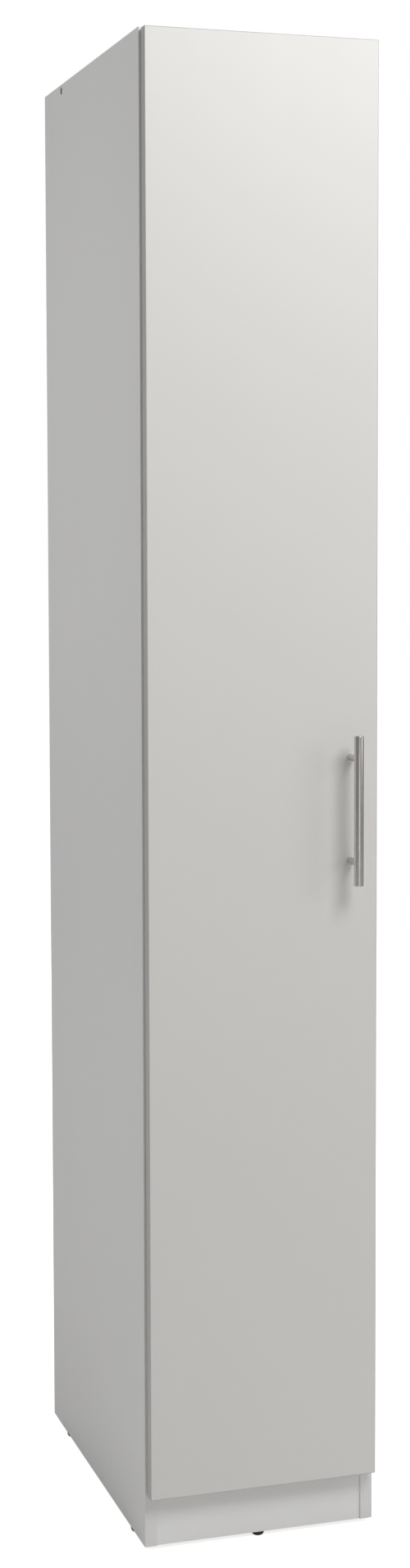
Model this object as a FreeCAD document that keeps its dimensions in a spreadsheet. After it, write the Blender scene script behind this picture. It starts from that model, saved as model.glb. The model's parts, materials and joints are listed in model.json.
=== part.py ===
import FreeCAD, Part
import math
import os
import re

import Sketcher

# Broom cupboard: a flat-pack carcass of coated board with one full-height door on three cup hinges.
# X runs to the right, Y to the back and Z up. The origin lies on the floor, in the middle of the
# cupboard's outline from the handle to the rear edges. Lengths are in millimetres.

SIZES = {
    # carcass
    "carcass_width": 300,
    "carcass_depth": 475,
    "side_height": 1850,
    "board": 16,            # thickness of every carcass board
    "band": 0.8,            # thickness of the edge bands
    "plinth_height": 63,    # height of the kickboard, under the base panel
    "kick_setback": 2,      # kickboard behind the side panels' front edges
    "shelf_level": 1405,    # underside of the fixed shelf above the floor
    "shelf_play": 0.5,      # between the shelf's rear edge and the back panel
    "back_sheet": 3,        # thickness of the back panel
    "back_inset": 14,       # from the carcass's rear to the back panel
    "groove_deep": 6,
    "groove_play": 0.2,     # on each face of the back panel in its groove
    "groove_spare": 0.5,    # at each edge of the back panel in its groove
    "rail_height": 96,
    "wall_hole_pitch": 160,
    "wall_hole": 6,
    # joints between the boards
    "fitting_front": 60,    # first fitting of each panel end, from the front
    "fitting_rear": 94,     # last fitting of each panel end, from the rear
    "cam_diameter": 15,
    "cam_deep": 12.6,
    "cam_distance": 24,     # from the panel's end to the cam's axis
    "cam_play": 0.4,        # of the bolt's head in the cam's mouth
    "cam_slot": 1.8,
    "cam_slot_long": 9,
    "cam_slot_deep": 2.2,
    "bolt_thread": 5,
    "bolt_thread_long": 11,
    "bolt_neck": 4,
    "bolt_head": 7,
    "bolt_head_long": 2.6,
    "bolt_bore": 8,
    "dowel_diameter": 8,
    "dowel_in_side": 11,
    "dowel_in_end": 18,
    "dowel_edge": 17,       # of the kickboard's and the rail's dowels, from their long edges
    "screw_shank": 6,
    "screw_core": 4.6,
    "screw_head": 10,
    "screw_head_deep": 3,
    "screw_sunk": 1,        # of the through screw's head below the side panel's face
    "screw_socket": 6,
    "screw_socket_deep": 2,
    "screw_long": 50,
    "fit": 0.05,            # radial play of a fastener in its bore
    # glides
    "glide_lift": 6,        # height of a glide
    "glide_diameter": 16,
    "glide_sole": 9,
    "glide_bulge": 14.6,    # diameter of the glide's curve between its sole and its rim
    "glide_bulge_up": 2.1,
    "glide_rim": 1.5,       # height of the glide's widest part
    "glide_front": 65,      # from the carcass's front to the front glides
    "glide_rear": 77,       # from the carcass's rear to the rear glides
    "nail_diameter": 2,
    "nail_long": 12,
    "nail_in_glide": 3,
    # door
    "door_board": 16,
    "door_gap": 2,          # between the carcass's front and the door's back
    "reveal_side": 2.5,
    "reveal_top": 2,
    "reveal_bottom": 2.5,   # the door's lower edge above the base panel's underside
    "bumper_diameter": 9,
    "bumper_thick": 1.7,
    "bumper_shoulder": 7.6,
    "bumper_crown": 4.5,
    "bumper_crown_thick": 0.7,
    "bumper_edge": 8,       # from the door's free edge and from its ends
    # handle
    "handle_long": 185,
    "handle_diameter": 12,
    "handle_pitch": 128,
    "handle_reach": 35,     # from the door's face to the front of the bar
    "handle_edge": 35,      # from the door's free edge to the bar's axis
    "handle_level": 918,    # the bar's middle above the floor
    "handle_round": 0.8,    # rounding of the bar's ends
    "post_diameter": 9,
    "post_seat": 1.2,       # depth to which a post enters the bar
    "handle_hole": 4.6,     # for a handle screw, through the door
    "handle_screw": 4,
    "handle_screw_in": 9,   # thread inside the post
    "handle_screw_head": 8,
    "handle_screw_head_thick": 2.2,
    # cup hinges: places
    "hinge_end": 100,       # from the door's ends to the outer hinges' middles
    "cup_edge": 22.5,       # from the door's edge to the cup's axis
    "plate_setback": 37,    # from the carcass's front to the mounting screws
    "plate_pitch": 32,      # between the mounting screws
    # cup hinges: the four pivots. In: off the side panel's inner face. Back: behind the carcass's
    # front. Off: from the cup's axis towards the door's edge. Deep: below the door's back face.
    "arm_pin_long_in": 21.0,
    "arm_pin_long_back": 12.9,
    "arm_pin_short_in": 14.7,
    "arm_pin_short_back": -2.7,
    "cup_pin_long_off": 12.7,
    "cup_pin_long_deep": 3.0,
    "cup_pin_short_off": 10.8,
    "cup_pin_short_deep": 5.4,
    # cup hinges: pieces
    "cup_diameter": 35,
    "cup_deep": 11.5,
    "cup_wall": 1,
    "cup_rim": 38,
    "cup_bore_spare": 0.5,  # below the cup in its bore
    "flange_long": 62,
    "flange_wide": 14,
    "flange_thick": 1,
    "flange_corner": 3,
    "flange_near": 10,      # from the cup's axis to the flange's edge beside the cup
    "flange_waist": 14,     # from the cup's axis, along the flange, to where it narrows
    "cup_screw_pitch": 48,
    "cup_screw_off": 6,     # from the cup's axis, away from the door's edge
    "cup_screw": 3.5,
    "cup_screw_long": 13,
    "cup_screw_head": 7,
    "cup_screw_head_thick": 1.6,
    "pin_diameter": 2,
    "eye_diameter": 4.6,
    "open_eye_play": 0.9,   # of the short link round its cup pin
    "open_eye_diameter": 5.8,
    "long_link_wide": 8,
    "cup_ear_inside": 8.6,
    "cup_ear_thick": 1,
    "fork_inside": 11.2,
    "fork_thick": 1.5,
    "arm_inside": 14.8,
    "arm_sheet": 1.2,
    "long_link_bar": 3,     # breadth of the long link's cranked bar
    "long_elbow_along": 2.7,
    "long_elbow_off": 5.6,
    "fork_bar": 2.4,        # breadth of the short link's cranked plates
    "short_elbow_along": 5.5,
    "short_elbow_off": 5.3,
    "link_play": 0.3,       # between links, walls and ridge, side to side
    "arm_rear": 66,
    "arm_clear": 0.5,       # between the arm's walls and the plate's wings
    "arm_nose": 5.2,        # diameter of the arm's nose round the short link's pin
    "arm_crest": 0.4,       # between the long link's eye and the arm's web
    "crest_half": 4,        # from the long link's pin to either end of the arm's crest
    "slope_rear": 30,       # from the carcass's front to the foot of the crest's slope
    "wall_step": 1.5,       # from the long link's pin back to where the walls reach down
    "plate_height": 8,
    "plate_floor": 2,       # left under the arm's screws
    "wing_thick": 2,
    "wing_wide": 12,
    "wing_long": 46,
    "wing_corner": 3,
    "ridge_front": 26,
    "ridge_short": 4,       # from the ridge's rear to the arm's
    "arm_screw_edge": 8,    # from either end of the ridge
    "plate_screw": 6,
    "plate_screw_long": 12,
    "plate_screw_head": 9,
    "plate_screw_head_thick": 2.5,
    "arm_screw": 4,
    "arm_screw_head": 7,
    "arm_screw_head_thick": 1.6,
}

HINGES = 3
SPARE = "0.5"    # how far a cut runs past what it holds or clears
SIDES = 8        # of small round pieces and their bores, which keeps the whole cupboard light
CAM_SIDES = 12
POST_SIDES = 12
CUP_SIDES = 20
ROUND = None     # in place of a number of sides, for a true circle
ROUNDING = f"{1 / math.cos(math.pi / SIDES):.5f}"    # from a small bore's flats out to its corners

DOC = FreeCAD.newDocument("broom_cupboard")
SHEET = DOC.addObject("Spreadsheet::Sheet", "sizes")
NODES = []

# For each axis, the origin plane square to it and the way in which that plane's normal points.
PLANES = {"X": ("YZ_Plane", 1), "Y": ("XZ_Plane", -1), "Z": ("XY_Plane", 1)}
TURNS = {
    "X": FreeCAD.Rotation(FreeCAD.Vector(0, 1, 0), 90),
    "-X": FreeCAD.Rotation(FreeCAD.Vector(0, 1, 0), -90),
    "Y": FreeCAD.Rotation(FreeCAD.Vector(1, 0, 0), -90),
    "-Y": FreeCAD.Rotation(FreeCAD.Vector(1, 0, 0), 90),
    "Z": FreeCAD.Rotation(),
    "-Z": FreeCAD.Rotation(FreeCAD.Vector(1, 0, 0), 180),
}

# Planes of the whole cupboard
LEFT = "(-carcass_width / 2)"
RIGHT = "(carcass_width / 2)"
REAR = "((carcass_depth + door_gap + door_board + handle_reach) / 2)"
FRONT = f"({REAR} - carcass_depth)"
INNER_WIDTH = "(carcass_width - 2 * board)"
CORE_DEPTH = "(carcass_depth - band)"
CORE_FRONT = f"({FRONT} + band)"
BASE_LEVEL = "(glide_lift + plinth_height)"
TOP_LEVEL = "(glide_lift + side_height - board)"
RAIL_LEVEL = f"({TOP_LEVEL} - rail_height)"
BACK_FRONT = f"({REAR} - back_inset - back_sheet)"
RAIL_FRONT = f"({BACK_FRONT} - shelf_play - board)"
DOOR_LEFT = f"({LEFT} + reveal_side)"
DOOR_BACK = f"({FRONT} - door_gap)"
DOOR_FACE = f"({DOOR_BACK} - door_board)"
DOOR_LOW = f"({BASE_LEVEL} + reveal_bottom)"
DOOR_WIDTH = "(carcass_width - 2 * reveal_side)"
DOOR_HEIGHT = f"(glide_lift + side_height - reveal_top - {DOOR_LOW})"

# Fittings of the boards: distances behind the front of a board's core, and heights of the boards'
# middles above the side panels' lower end
FIT_FRONT = "(fitting_front - band)"
FIT_REAR = "(carcass_depth - fitting_rear - band)"
FIT_MIDDLE = f"(({FIT_FRONT} + {FIT_REAR}) / 2)"
TOP_MIDDLE = "(side_height - board / 2)"
BASE_MIDDLE = "(plinth_height + board / 2)"
SHELF_MIDDLE = "(shelf_level - glide_lift + board / 2)"


def bound(expression):
    """The expression with the name of each size pointed at the sheet."""
    return re.sub(r"[a-z]\w*", lambda word: f"sizes.{word[0]}" if word[0] in SIZES else word[0], expression)


def number(expression):
    return float(SHEET.evalExpression(bound(expression)))


def place(piece, x, y, z, turn=TURNS["Z"]):
    piece.Placement.Rotation = turn
    for axis, expression in zip("xyz", (x, y, z)):
        piece.setExpression(f"Placement.Base.{axis}", bound(expression))


def node(piece, name):
    """Names a finished sub-part, whose label becomes its file's name."""
    piece.Label = name
    NODES.append(piece)
    return piece


def group(name, pieces):
    """Identical small pieces, kept as separate solids of one sub-part."""
    compound = DOC.addObject("Part::Compound", name)
    compound.Links = pieces
    return node(compound, name)


def new_body(name):
    return DOC.addObject("PartDesign::Body", name)


def sketch_across(body, across, level):
    """An empty sketch of the body, square to an axis at a level along it."""
    role, way = PLANES[across]
    plane = next(feature for feature in body.Origin.OriginFeatures if feature.Role == role)
    sketch = body.newObject("Sketcher::SketchObject", "Sketch")
    sketch.AttachmentSupport = [(plane, "")]
    sketch.MapMode = "FlatFace"
    sketch.setExpression("AttachmentOffset.Base.z", bound(f"{way} * ({level})"))
    return sketch


def hold(sketch, element, point, x, y):
    """Ties a point of a sketch element to the sketch's origin by two bound distances."""
    for kind, expression in (("DistanceX", x), ("DistanceY", y)):
        at = sketch.addConstraint(Sketcher.Constraint(kind, -1, 1, element, point, number(expression)))
        sketch.setExpression(f"Constraints[{at}]", bound(expression))


def outline(sketch, corners):
    """A closed outline of straight sides through corners given as pairs of expressions."""
    first = sketch.GeometryCount
    points = [FreeCAD.Vector(number(x), number(y), 0) for x, y in corners]
    count = len(points)
    for side in range(count):
        sketch.addGeometry(Part.LineSegment(points[side], points[(side + 1) % count]), False)
    for side in range(count):
        following = first + (side + 1) % count
        sketch.addConstraint(Sketcher.Constraint("Coincident", first + side, 2, following, 1))
    for side, (x, y) in enumerate(corners):
        hold(sketch, first + side, 1, x, y)
    return sketch


def rectangle(sketch, left, low, right, high):
    return outline(sketch, [(left, low), (right, low), (right, high), (left, high)])


def circle(sketch, x, y, diameter):
    centre = FreeCAD.Vector(number(x), number(y), 0)
    ring = Part.Circle(centre, FreeCAD.Vector(0, 0, 1), number(diameter) / 2)
    element = sketch.addGeometry(ring, False)
    hold(sketch, element, 3, x, y)
    at = sketch.addConstraint(Sketcher.Constraint("Diameter", element, number(diameter)))
    sketch.setExpression(f"Constraints[{at}]", bound(diameter))
    return sketch


def ring(sketch, x, y, diameter, sides=SIDES):
    """A small round outline, drawn with few sides."""
    corners = []
    for count in range(sides):
        angle = 2 * math.pi * count / sides
        run, rise = math.cos(angle) / 2, math.sin(angle) / 2
        corners.append((f"({x}) + ({diameter}) * ({run:.5f})", f"({y}) + ({diameter}) * ({rise:.5f})"))
    return outline(sketch, corners)


def pad(body, across, sketch, length):
    """Extrudes the sketch along the axis that it lies across."""
    feature = body.newObject("PartDesign::Pad", "Pad")
    feature.Profile = sketch
    feature.Reversed = PLANES[across][1] < 0
    feature.setExpression("Length", bound(length))
    return feature


def pocket(body, across, sketch, length, into):
    """Cuts the sketch out of the body, into +1 or -1 along the axis that it lies across."""
    feature = body.newObject("PartDesign::Pocket", "Pocket")
    feature.Profile = sketch
    feature.Reversed = into == PLANES[across][1]
    feature.setExpression("Length", bound(length))
    return feature


def bores(body, across, level, into, deep, diameter, centres, sides=SIDES):
    """Bores of one size that start at a level on an axis and run along it."""
    sketch = sketch_across(body, across, level)
    for x, y in centres:
        if sides is ROUND:
            circle(sketch, x, y, diameter)
        else:
            ring(sketch, x, y, diameter, sides)
    return pocket(body, across, sketch, deep, into)


def turned(name, profile):
    """A piece turned about its own Z axis from a profile of radius and height."""
    body = new_body(name)
    sketch = outline(sketch_across(body, "Y", "0"), profile)
    feature = body.newObject("PartDesign::Revolution", "Revolution")
    feature.Profile = sketch
    feature.ReferenceAxis = (sketch, ["V_Axis"])
    feature.Angle = 360
    return body


def stacked(name, bands):
    """A small turned piece along its own Z axis, from bands given as diameter, start and end."""
    body = new_body(name)
    for diameter, low, high in bands:
        pad(body, "Z", ring(sketch_across(body, "Z", low), "0", "0", diameter), f"{high} - ({low})")
    return body


def tapered(name, rings):
    """A small piece along its own Z axis that runs evenly through rings of a diameter and a level."""
    body = new_body(name)
    sections = [ring(sketch_across(body, "Z", level), "0", "0", wide) for wide, level in rings]
    feature = body.newObject("PartDesign::AdditiveLoft", "Loft")
    feature.Profile = sections[0]
    feature.Sections = sections[1:]
    feature.Ruled = True
    return body


def rod(name, diameter, length):
    """A plain pin along its own Z axis, drawn with few sides."""
    pin = DOC.addObject("Part::Prism", name)
    pin.Polygon = SIDES
    pin.setExpression("Circumradius", bound(f"({diameter}) / 2"))
    pin.setExpression("Height", bound(length))
    return pin


def axle(name, diameter, length):
    """A truly round pin along its own Z axis, for a link to turn on."""
    pin = DOC.addObject("Part::Cylinder", name)
    pin.setExpression("Radius", bound(f"({diameter}) / 2"))
    pin.setExpression("Height", bound(length))
    return pin


def board(name, across, size, corner):
    """A flat board: its extents along X, Y and Z, the axis of its thickness and its lowest corner."""
    body = new_body(name)
    along, up, thick = {
        "X": (size[1], size[2], size[0]),
        "Y": (size[0], size[2], size[1]),
        "Z": (size[0], size[1], size[2]),
    }[across]
    pad(body, across, rectangle(sketch_across(body, across, "0"), "0", "0", along, up), thick)
    place(body, *corner)
    return node(body, name)


def strip(name, size, corner):
    """A thin band glued on an edge."""
    box = DOC.addObject("Part::Box", name)
    for side, expression in zip(("Length", "Width", "Height"), size):
        box.setExpression(side, bound(expression))
    place(box, *corner)
    return box


def side_panel(name, corner_x, face, outer, into, plate_rows):
    """A side panel, drilled and grooved from its inner face; its own X runs from left to right."""
    panel = board(name, "X", ("board", CORE_DEPTH, "side_height"), (corner_x, CORE_FRONT, "glide_lift"))
    bolts = [(FIT_FRONT, TOP_MIDDLE)]
    bolts += [(row, middle) for middle in (SHELF_MIDDLE, BASE_MIDDLE) for row in (FIT_FRONT, FIT_REAR)]
    bores(panel, "X", face, into, f"bolt_thread_long + {SPARE}", "bolt_thread + 2 * fit", bolts)
    kick_row = "kick_setback - band + board / 2"
    rail_row = f"{RAIL_FRONT} - {CORE_FRONT} + board / 2"
    dowels = [(FIT_MIDDLE, middle) for middle in (TOP_MIDDLE, SHELF_MIDDLE, BASE_MIDDLE)]
    dowels += [(kick_row, "dowel_edge"), (kick_row, "plinth_height - dowel_edge")]
    dowels += [(rail_row, f"{RAIL_LEVEL} - glide_lift + dowel_edge")]
    dowels += [(rail_row, "side_height - board - dowel_edge")]
    bores(panel, "X", face, into, f"dowel_in_side + {SPARE}", "dowel_diameter + 2 * fit", dowels)
    bores(panel, "X", face, into, "board", "screw_shank + 2 * fit", [(FIT_REAR, TOP_MIDDLE)])
    head_deep = "screw_head_deep + screw_sunk"
    bores(panel, "X", outer, -into, head_deep, "screw_head + 2 * fit", [(FIT_REAR, TOP_MIDDLE)])
    groove_rear = "(carcass_depth - band - back_inset + groove_play)"
    groove = sketch_across(panel, "X", face)
    rectangle(groove, f"{groove_rear} - back_sheet - 2 * groove_play", "0", groove_rear, "side_height")
    pocket(panel, "X", groove, "groove_deep", into)
    nails = [("board / 2", "glide_front - band"), ("board / 2", "carcass_depth - band - glide_rear")]
    bores(panel, "Z", "0", 1, f"nail_long - nail_in_glide + {SPARE}", "nail_diameter + 2 * fit", nails)
    if plate_rows:
        screw_deep = f"plate_screw_long - wing_thick + {SPARE}"
        bores(panel, "X", face, into, screw_deep, "plate_screw + 2 * fit", plate_rows)
    return panel


def cross_panel(name, level, depth, cam_face, cam_into, cam_rows):
    """A horizontal board between the side panels, with cams in one face and bores in its ends."""
    corner = (f"({LEFT} + board)", CORE_FRONT, level)
    panel = board(name, "Z", (INNER_WIDTH, depth, "board"), corner)
    locks = [(x, row) for row in cam_rows for x in ("cam_distance", f"{INNER_WIDTH} - cam_distance")]
    lock_deep = f"cam_deep + {SPARE}"
    bores(panel, "Z", cam_face, cam_into, lock_deep, "cam_diameter + 2 * fit", locks, CAM_SIDES)
    bolts = [(row, "board / 2") for row in cam_rows]
    for end, into in (("0", 1), (INNER_WIDTH, -1)):
        bores(panel, "X", end, into, "cam_distance", "bolt_bore", bolts)
        middle = [(FIT_MIDDLE, "board / 2")]
        bores(panel, "X", end, into, f"dowel_in_end + {SPARE}", "dowel_diameter + 2 * fit", middle)
    return panel


def back_groove(panel, face, into):
    """The groove for the back panel, across the whole of a horizontal board."""
    groove_rear = "(carcass_depth - band - back_inset + groove_play)"
    sketch = sketch_across(panel, "Z", face)
    rectangle(sketch, "0", f"{groove_rear} - back_sheet - 2 * groove_play", INNER_WIDTH, groove_rear)
    pocket(panel, "Z", sketch, "groove_deep", into)


def dowelled_board(name, height, corner_y, level):
    """An upright board between the side panels, with two dowels in each end."""
    corner = (f"({LEFT} + board)", corner_y, level)
    panel = board(name, "Y", (INNER_WIDTH, "board", height), corner)
    dowels = [("board / 2", "dowel_edge"), ("board / 2", f"{height} - dowel_edge")]
    for end, into in (("0", 1), (INNER_WIDTH, -1)):
        bores(panel, "X", end, into, f"dowel_in_end + {SPARE}", "dowel_diameter + 2 * fit", dowels)
    return panel


def wall_holes(panel, across_middle, up, deep):
    """The pair of holes for the wall screws."""
    pair = [(f"{across_middle} {sign} wall_hole_pitch / 2", up) for sign in "-+"]
    bores(panel, "Y", "0", 1, deep, "wall_hole", pair, ROUND)


def carcass():
    """The boards that do not move."""
    plates = [
        ("plate_setback - band", f"{hinge_level(count)} - glide_lift {sign} plate_pitch / 2")
        for count in range(HINGES)
        for sign in "-+"
    ]
    side_panel("side_panel_left", LEFT, "board", "0", -1, plates)
    side_panel("side_panel_right", f"({RIGHT} - board)", "0", "board", 1, [])

    top = cross_panel("top_panel", TOP_LEVEL, CORE_DEPTH, "board", -1, [FIT_FRONT])
    for end, into in (("0", 1), (INNER_WIDTH, -1)):
        deep = f"screw_long + screw_sunk - board + {SPARE}"
        bores(top, "X", end, into, deep, "screw_core + 2 * fit", [(FIT_REAR, "board / 2")])
    back_groove(top, "0", 1)
    base = cross_panel("base_panel", BASE_LEVEL, CORE_DEPTH, "0", 1, [FIT_FRONT, FIT_REAR])
    back_groove(base, "board", -1)
    shelf_depth = f"({BACK_FRONT} - shelf_play - {CORE_FRONT})"
    cross_panel("fixed_shelf", "shelf_level", shelf_depth, "0", 1, [FIT_FRONT, FIT_REAR])

    kick = dowelled_board("kickboard", "plinth_height", f"({FRONT} + kick_setback)", "glide_lift")
    nail_deep = f"nail_long - nail_in_glide + {SPARE}"
    middle = [(f"{INNER_WIDTH} / 2", "board / 2")]
    bores(kick, "Z", "0", 1, nail_deep, "nail_diameter + 2 * fit", middle)
    rail = dowelled_board("wall_rail", "rail_height", RAIL_FRONT, RAIL_LEVEL)
    wall_holes(rail, f"{INNER_WIDTH} / 2", "rail_height / 2", "board")

    tongue = "(groove_deep - groove_spare)"
    back_low = f"({BASE_LEVEL} + board - {tongue})"
    back_width = f"({INNER_WIDTH} + 2 * {tongue})"
    back_height = f"({TOP_LEVEL} + {tongue} - {back_low})"
    corner = (f"({LEFT} + board - {tongue})", BACK_FRONT, back_low)
    back = board("back_panel", "Y", (back_width, "back_sheet", back_height), corner)
    wall_holes(back, f"{back_width} / 2", f"{RAIL_LEVEL} + rail_height / 2 - {back_low}", "back_sheet")


def carcass_bands():
    """Edge bands on the carcass's front edges."""
    upright = ("board", "band", "side_height")
    node(strip("side_band_left", upright, (LEFT, FRONT, "glide_lift")), "side_band_left")
    right = strip("side_band_right", upright, (f"{RIGHT} - board", FRONT, "glide_lift"))
    node(right, "side_band_right")
    levels = {"top": TOP_LEVEL, "shelf": "shelf_level", "base": BASE_LEVEL}
    bands = [
        strip(f"{name}_band", (INNER_WIDTH, "band", "board"), (f"{LEFT} + board", FRONT, level))
        for name, level in levels.items()
    ]
    group("cross_panel_bands", bands)


def cam_lock(name):
    """A cam: a drum with a mouth for the bolt's head and a slot for the screwdriver."""
    cam = new_body(name)
    drum = ring(sketch_across(cam, "Z", "-cam_deep"), "0", "0", "cam_diameter", CAM_SIDES)
    pad(cam, "Z", drum, "cam_deep")
    mouth = sketch_across(cam, "X", "-cam_diameter / 2")
    half = "(bolt_head / 2 + cam_play)"
    rectangle(mouth, f"-{half}", f"-board / 2 - {half}", half, f"-board / 2 + {half}")
    pocket(cam, "X", mouth, "cam_diameter / 2 + bolt_head_long", 1)
    slot = sketch_across(cam, "Z", "0")
    rectangle(slot, "-cam_slot_long / 2", "-cam_slot / 2", "cam_slot_long / 2", "cam_slot / 2")
    pocket(cam, "Z", slot, "cam_slot_deep", -1)
    return cam


def cam_bolt(name):
    """A bolt whose thread sits in the side panel and whose head is caught in the cam."""
    head_start = "(cam_distance - bolt_head_long / 2)"
    return stacked(name, [
        ("bolt_thread", "(-bolt_thread_long)", "0"),
        ("bolt_neck", "0", head_start),
        ("bolt_head", head_start, f"({head_start} + bolt_head_long)"),
    ])


def cams():
    """Cam locks and their bolts, one pair for each fitting of the horizontal boards' ends."""
    spots = [(FIT_FRONT, TOP_LEVEL, True)]
    spots += [(row, level, False) for level in ("shelf_level", BASE_LEVEL) for row in (FIT_FRONT, FIT_REAR)]
    locks, bolts = [], []
    for row, level, from_above in spots:
        for to_left in (True, False):
            count = len(locks) + 1
            lock = cam_lock(f"cam_lock_{count}")
            turn = FreeCAD.Rotation(FreeCAD.Vector(0, 0, 1), 0 if to_left else 180)
            if not from_above:
                turn = turn * FreeCAD.Rotation(FreeCAD.Vector(1, 0, 0), 180)
            panel_end = f"{LEFT} + board" if to_left else f"{RIGHT} - board"
            x = f"{panel_end} {'+' if to_left else '-'} cam_distance"
            place(lock, x, f"{CORE_FRONT} + {row}", f"{level} + board" if from_above else level, turn)
            locks.append(lock)
            bolt = cam_bolt(f"cam_bolt_{count}")
            turn = TURNS["X" if to_left else "-X"]
            place(bolt, panel_end, f"{CORE_FRONT} + {row}", f"{level} + board / 2", turn)
            bolts.append(bolt)
    group("cam_locks", locks)
    group("cam_bolts", bolts)


def dowels():
    """Wooden dowels between the side panels and everything that stands between them."""
    middle_row = f"{CORE_FRONT} + {FIT_MIDDLE}"
    spots = [(middle_row, f"{level} + board / 2") for level in (TOP_LEVEL, "shelf_level", BASE_LEVEL)]
    for row, low, height in (
        (f"{FRONT} + kick_setback + board / 2", "glide_lift", "plinth_height"),
        (f"{RAIL_FRONT} + board / 2", RAIL_LEVEL, "rail_height"),
    ):
        spots += [(row, f"{low} + dowel_edge"), (row, f"{low} + {height} - dowel_edge")]
    pins = []
    for row, height in spots:
        for joint, turn in ((f"{LEFT} + board", TURNS["X"]), (f"{RIGHT} - board", TURNS["-X"])):
            pin = rod("dowel", "dowel_diameter", "dowel_in_side + dowel_in_end")
            sign = "-" if turn is TURNS["X"] else "+"
            place(pin, f"{joint} {sign} dowel_in_side", row, height, turn)
            pins.append(pin)
    group("dowels", pins)


def through_screw(name):
    """The screw through a side panel into the top panel's end, with a socket in its flat head."""
    shank_end = "(board - screw_sunk)"
    screw = stacked(name, [
        ("screw_head", "0", "screw_head_deep"),
        ("screw_shank", "screw_head_deep", shank_end),
        ("screw_core", shank_end, "screw_long"),
    ])
    socket = ring(sketch_across(screw, "Z", "0"), "0", "0", "screw_socket", 6)
    pocket(screw, "Z", socket, "screw_socket_deep", 1)
    return screw


def through_screws():
    screws = []
    for x, turn in ((f"{LEFT} + screw_sunk", TURNS["X"]), (f"{RIGHT} - screw_sunk", TURNS["-X"])):
        screw = through_screw("through_screw")
        place(screw, x, f"{CORE_FRONT} + {FIT_REAR}", f"{TOP_LEVEL} + board / 2", turn)
        screws.append(screw)
    group("through_screws", screws)


def glides():
    """Domed glides nailed under the side panels and the middle of the kickboard."""
    spots = [
        (f"{edge} board / 2", row)
        for edge in (f"{LEFT} +", f"{RIGHT} -")
        for row in (f"{FRONT} + glide_front", f"{REAR} - glide_rear")
    ]
    spots.append(("0", f"{FRONT} + kick_setback + board / 2"))
    nail_low = "(glide_lift - nail_in_glide)"
    rings = [
        ("glide_sole", "0"), ("glide_bulge", "glide_bulge_up"),
        ("glide_diameter", "(glide_lift - glide_rim)"), ("glide_diameter", "glide_lift"),
    ]
    domes, nails = [], []
    for x, y in spots:
        dome = tapered("glide", rings)
        bores(dome, "Z", "glide_lift", -1, "nail_in_glide", "nail_diameter + 2 * fit", [("0", "0")])
        place(dome, x, y, "0")
        domes.append(dome)
        nail = rod("glide_nail", "nail_diameter", "nail_long")
        place(nail, x, y, nail_low)
        nails.append(nail)
    group("glides", domes)
    group("glide_nails", nails)


def hinge_level(count):
    """Height of a hinge's middle: the first at the bottom, the last at the top, evenly spaced."""
    share = count / (HINGES - 1)
    return f"({DOOR_LOW} + hinge_end + ({DOOR_HEIGHT} - 2 * hinge_end) * {share:.6f})"


def door():
    """The door's board with its bores, and the bands on its four edges."""
    core_low = f"({DOOR_LOW} + band)"
    size = (f"({DOOR_WIDTH} - 2 * band)", "door_board", f"({DOOR_HEIGHT} - 2 * band)")
    panel = board("door_panel", "Y", size, (f"({DOOR_LEFT} + band)", DOOR_FACE, core_low))
    levels = [f"({hinge_level(count)} - {core_low})" for count in range(HINGES)]
    cups = [("cup_edge - band", level) for level in levels]
    cup_bore = "cup_deep + cup_bore_spare"
    bores(panel, "Y", "door_board", -1, cup_bore, "cup_diameter + 2 * fit", cups, CUP_SIDES)
    screws = [
        ("cup_edge + cup_screw_off - band", f"{level} {sign} cup_screw_pitch / 2")
        for level in levels
        for sign in "-+"
    ]
    screw_deep = f"cup_screw_long - flange_thick + {SPARE}"
    bores(panel, "Y", "door_board", -1, screw_deep, "cup_screw + 2 * fit", screws)
    holes = [
        (f"{DOOR_WIDTH} - handle_edge - band", f"handle_level - {core_low} {sign} handle_pitch / 2")
        for sign in "-+"
    ]
    bores(panel, "Y", "door_board", -1, "door_board", "handle_hole", holes)

    upright = ("band", "door_board", DOOR_HEIGHT)
    level = (f"{DOOR_WIDTH} - 2 * band", "door_board", "band")
    right = f"{DOOR_LEFT} + {DOOR_WIDTH} - band"
    for name, size, corner in (
        ("door_band_left", upright, (DOOR_LEFT, DOOR_FACE, DOOR_LOW)),
        ("door_band_right", upright, (right, DOOR_FACE, DOOR_LOW)),
        ("door_band_bottom", level, (f"{DOOR_LEFT} + band", DOOR_FACE, DOOR_LOW)),
        ("door_band_top", level, (f"{DOOR_LEFT} + band", DOOR_FACE, f"{DOOR_LOW} + {DOOR_HEIGHT} - band")),
    ):
        node(strip(name, size, corner), name)


def bumpers():
    """Soft pads on the door's back that meet the right side panel's front edge."""
    pads = []
    for height in (f"{DOOR_LOW} + bumper_edge", f"{DOOR_LOW} + {DOOR_HEIGHT} - bumper_edge"):
        dome = tapered("door_bumper", [
            ("bumper_diameter", "0"), ("bumper_shoulder", "(bumper_thick - bumper_crown_thick)"),
            ("bumper_crown", "bumper_thick"),
        ])
        place(dome, f"{DOOR_LEFT} + {DOOR_WIDTH} - bumper_edge", DOOR_BACK, height, TURNS["Y"])
        pads.append(dome)
    group("door_bumpers", pads)


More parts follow.
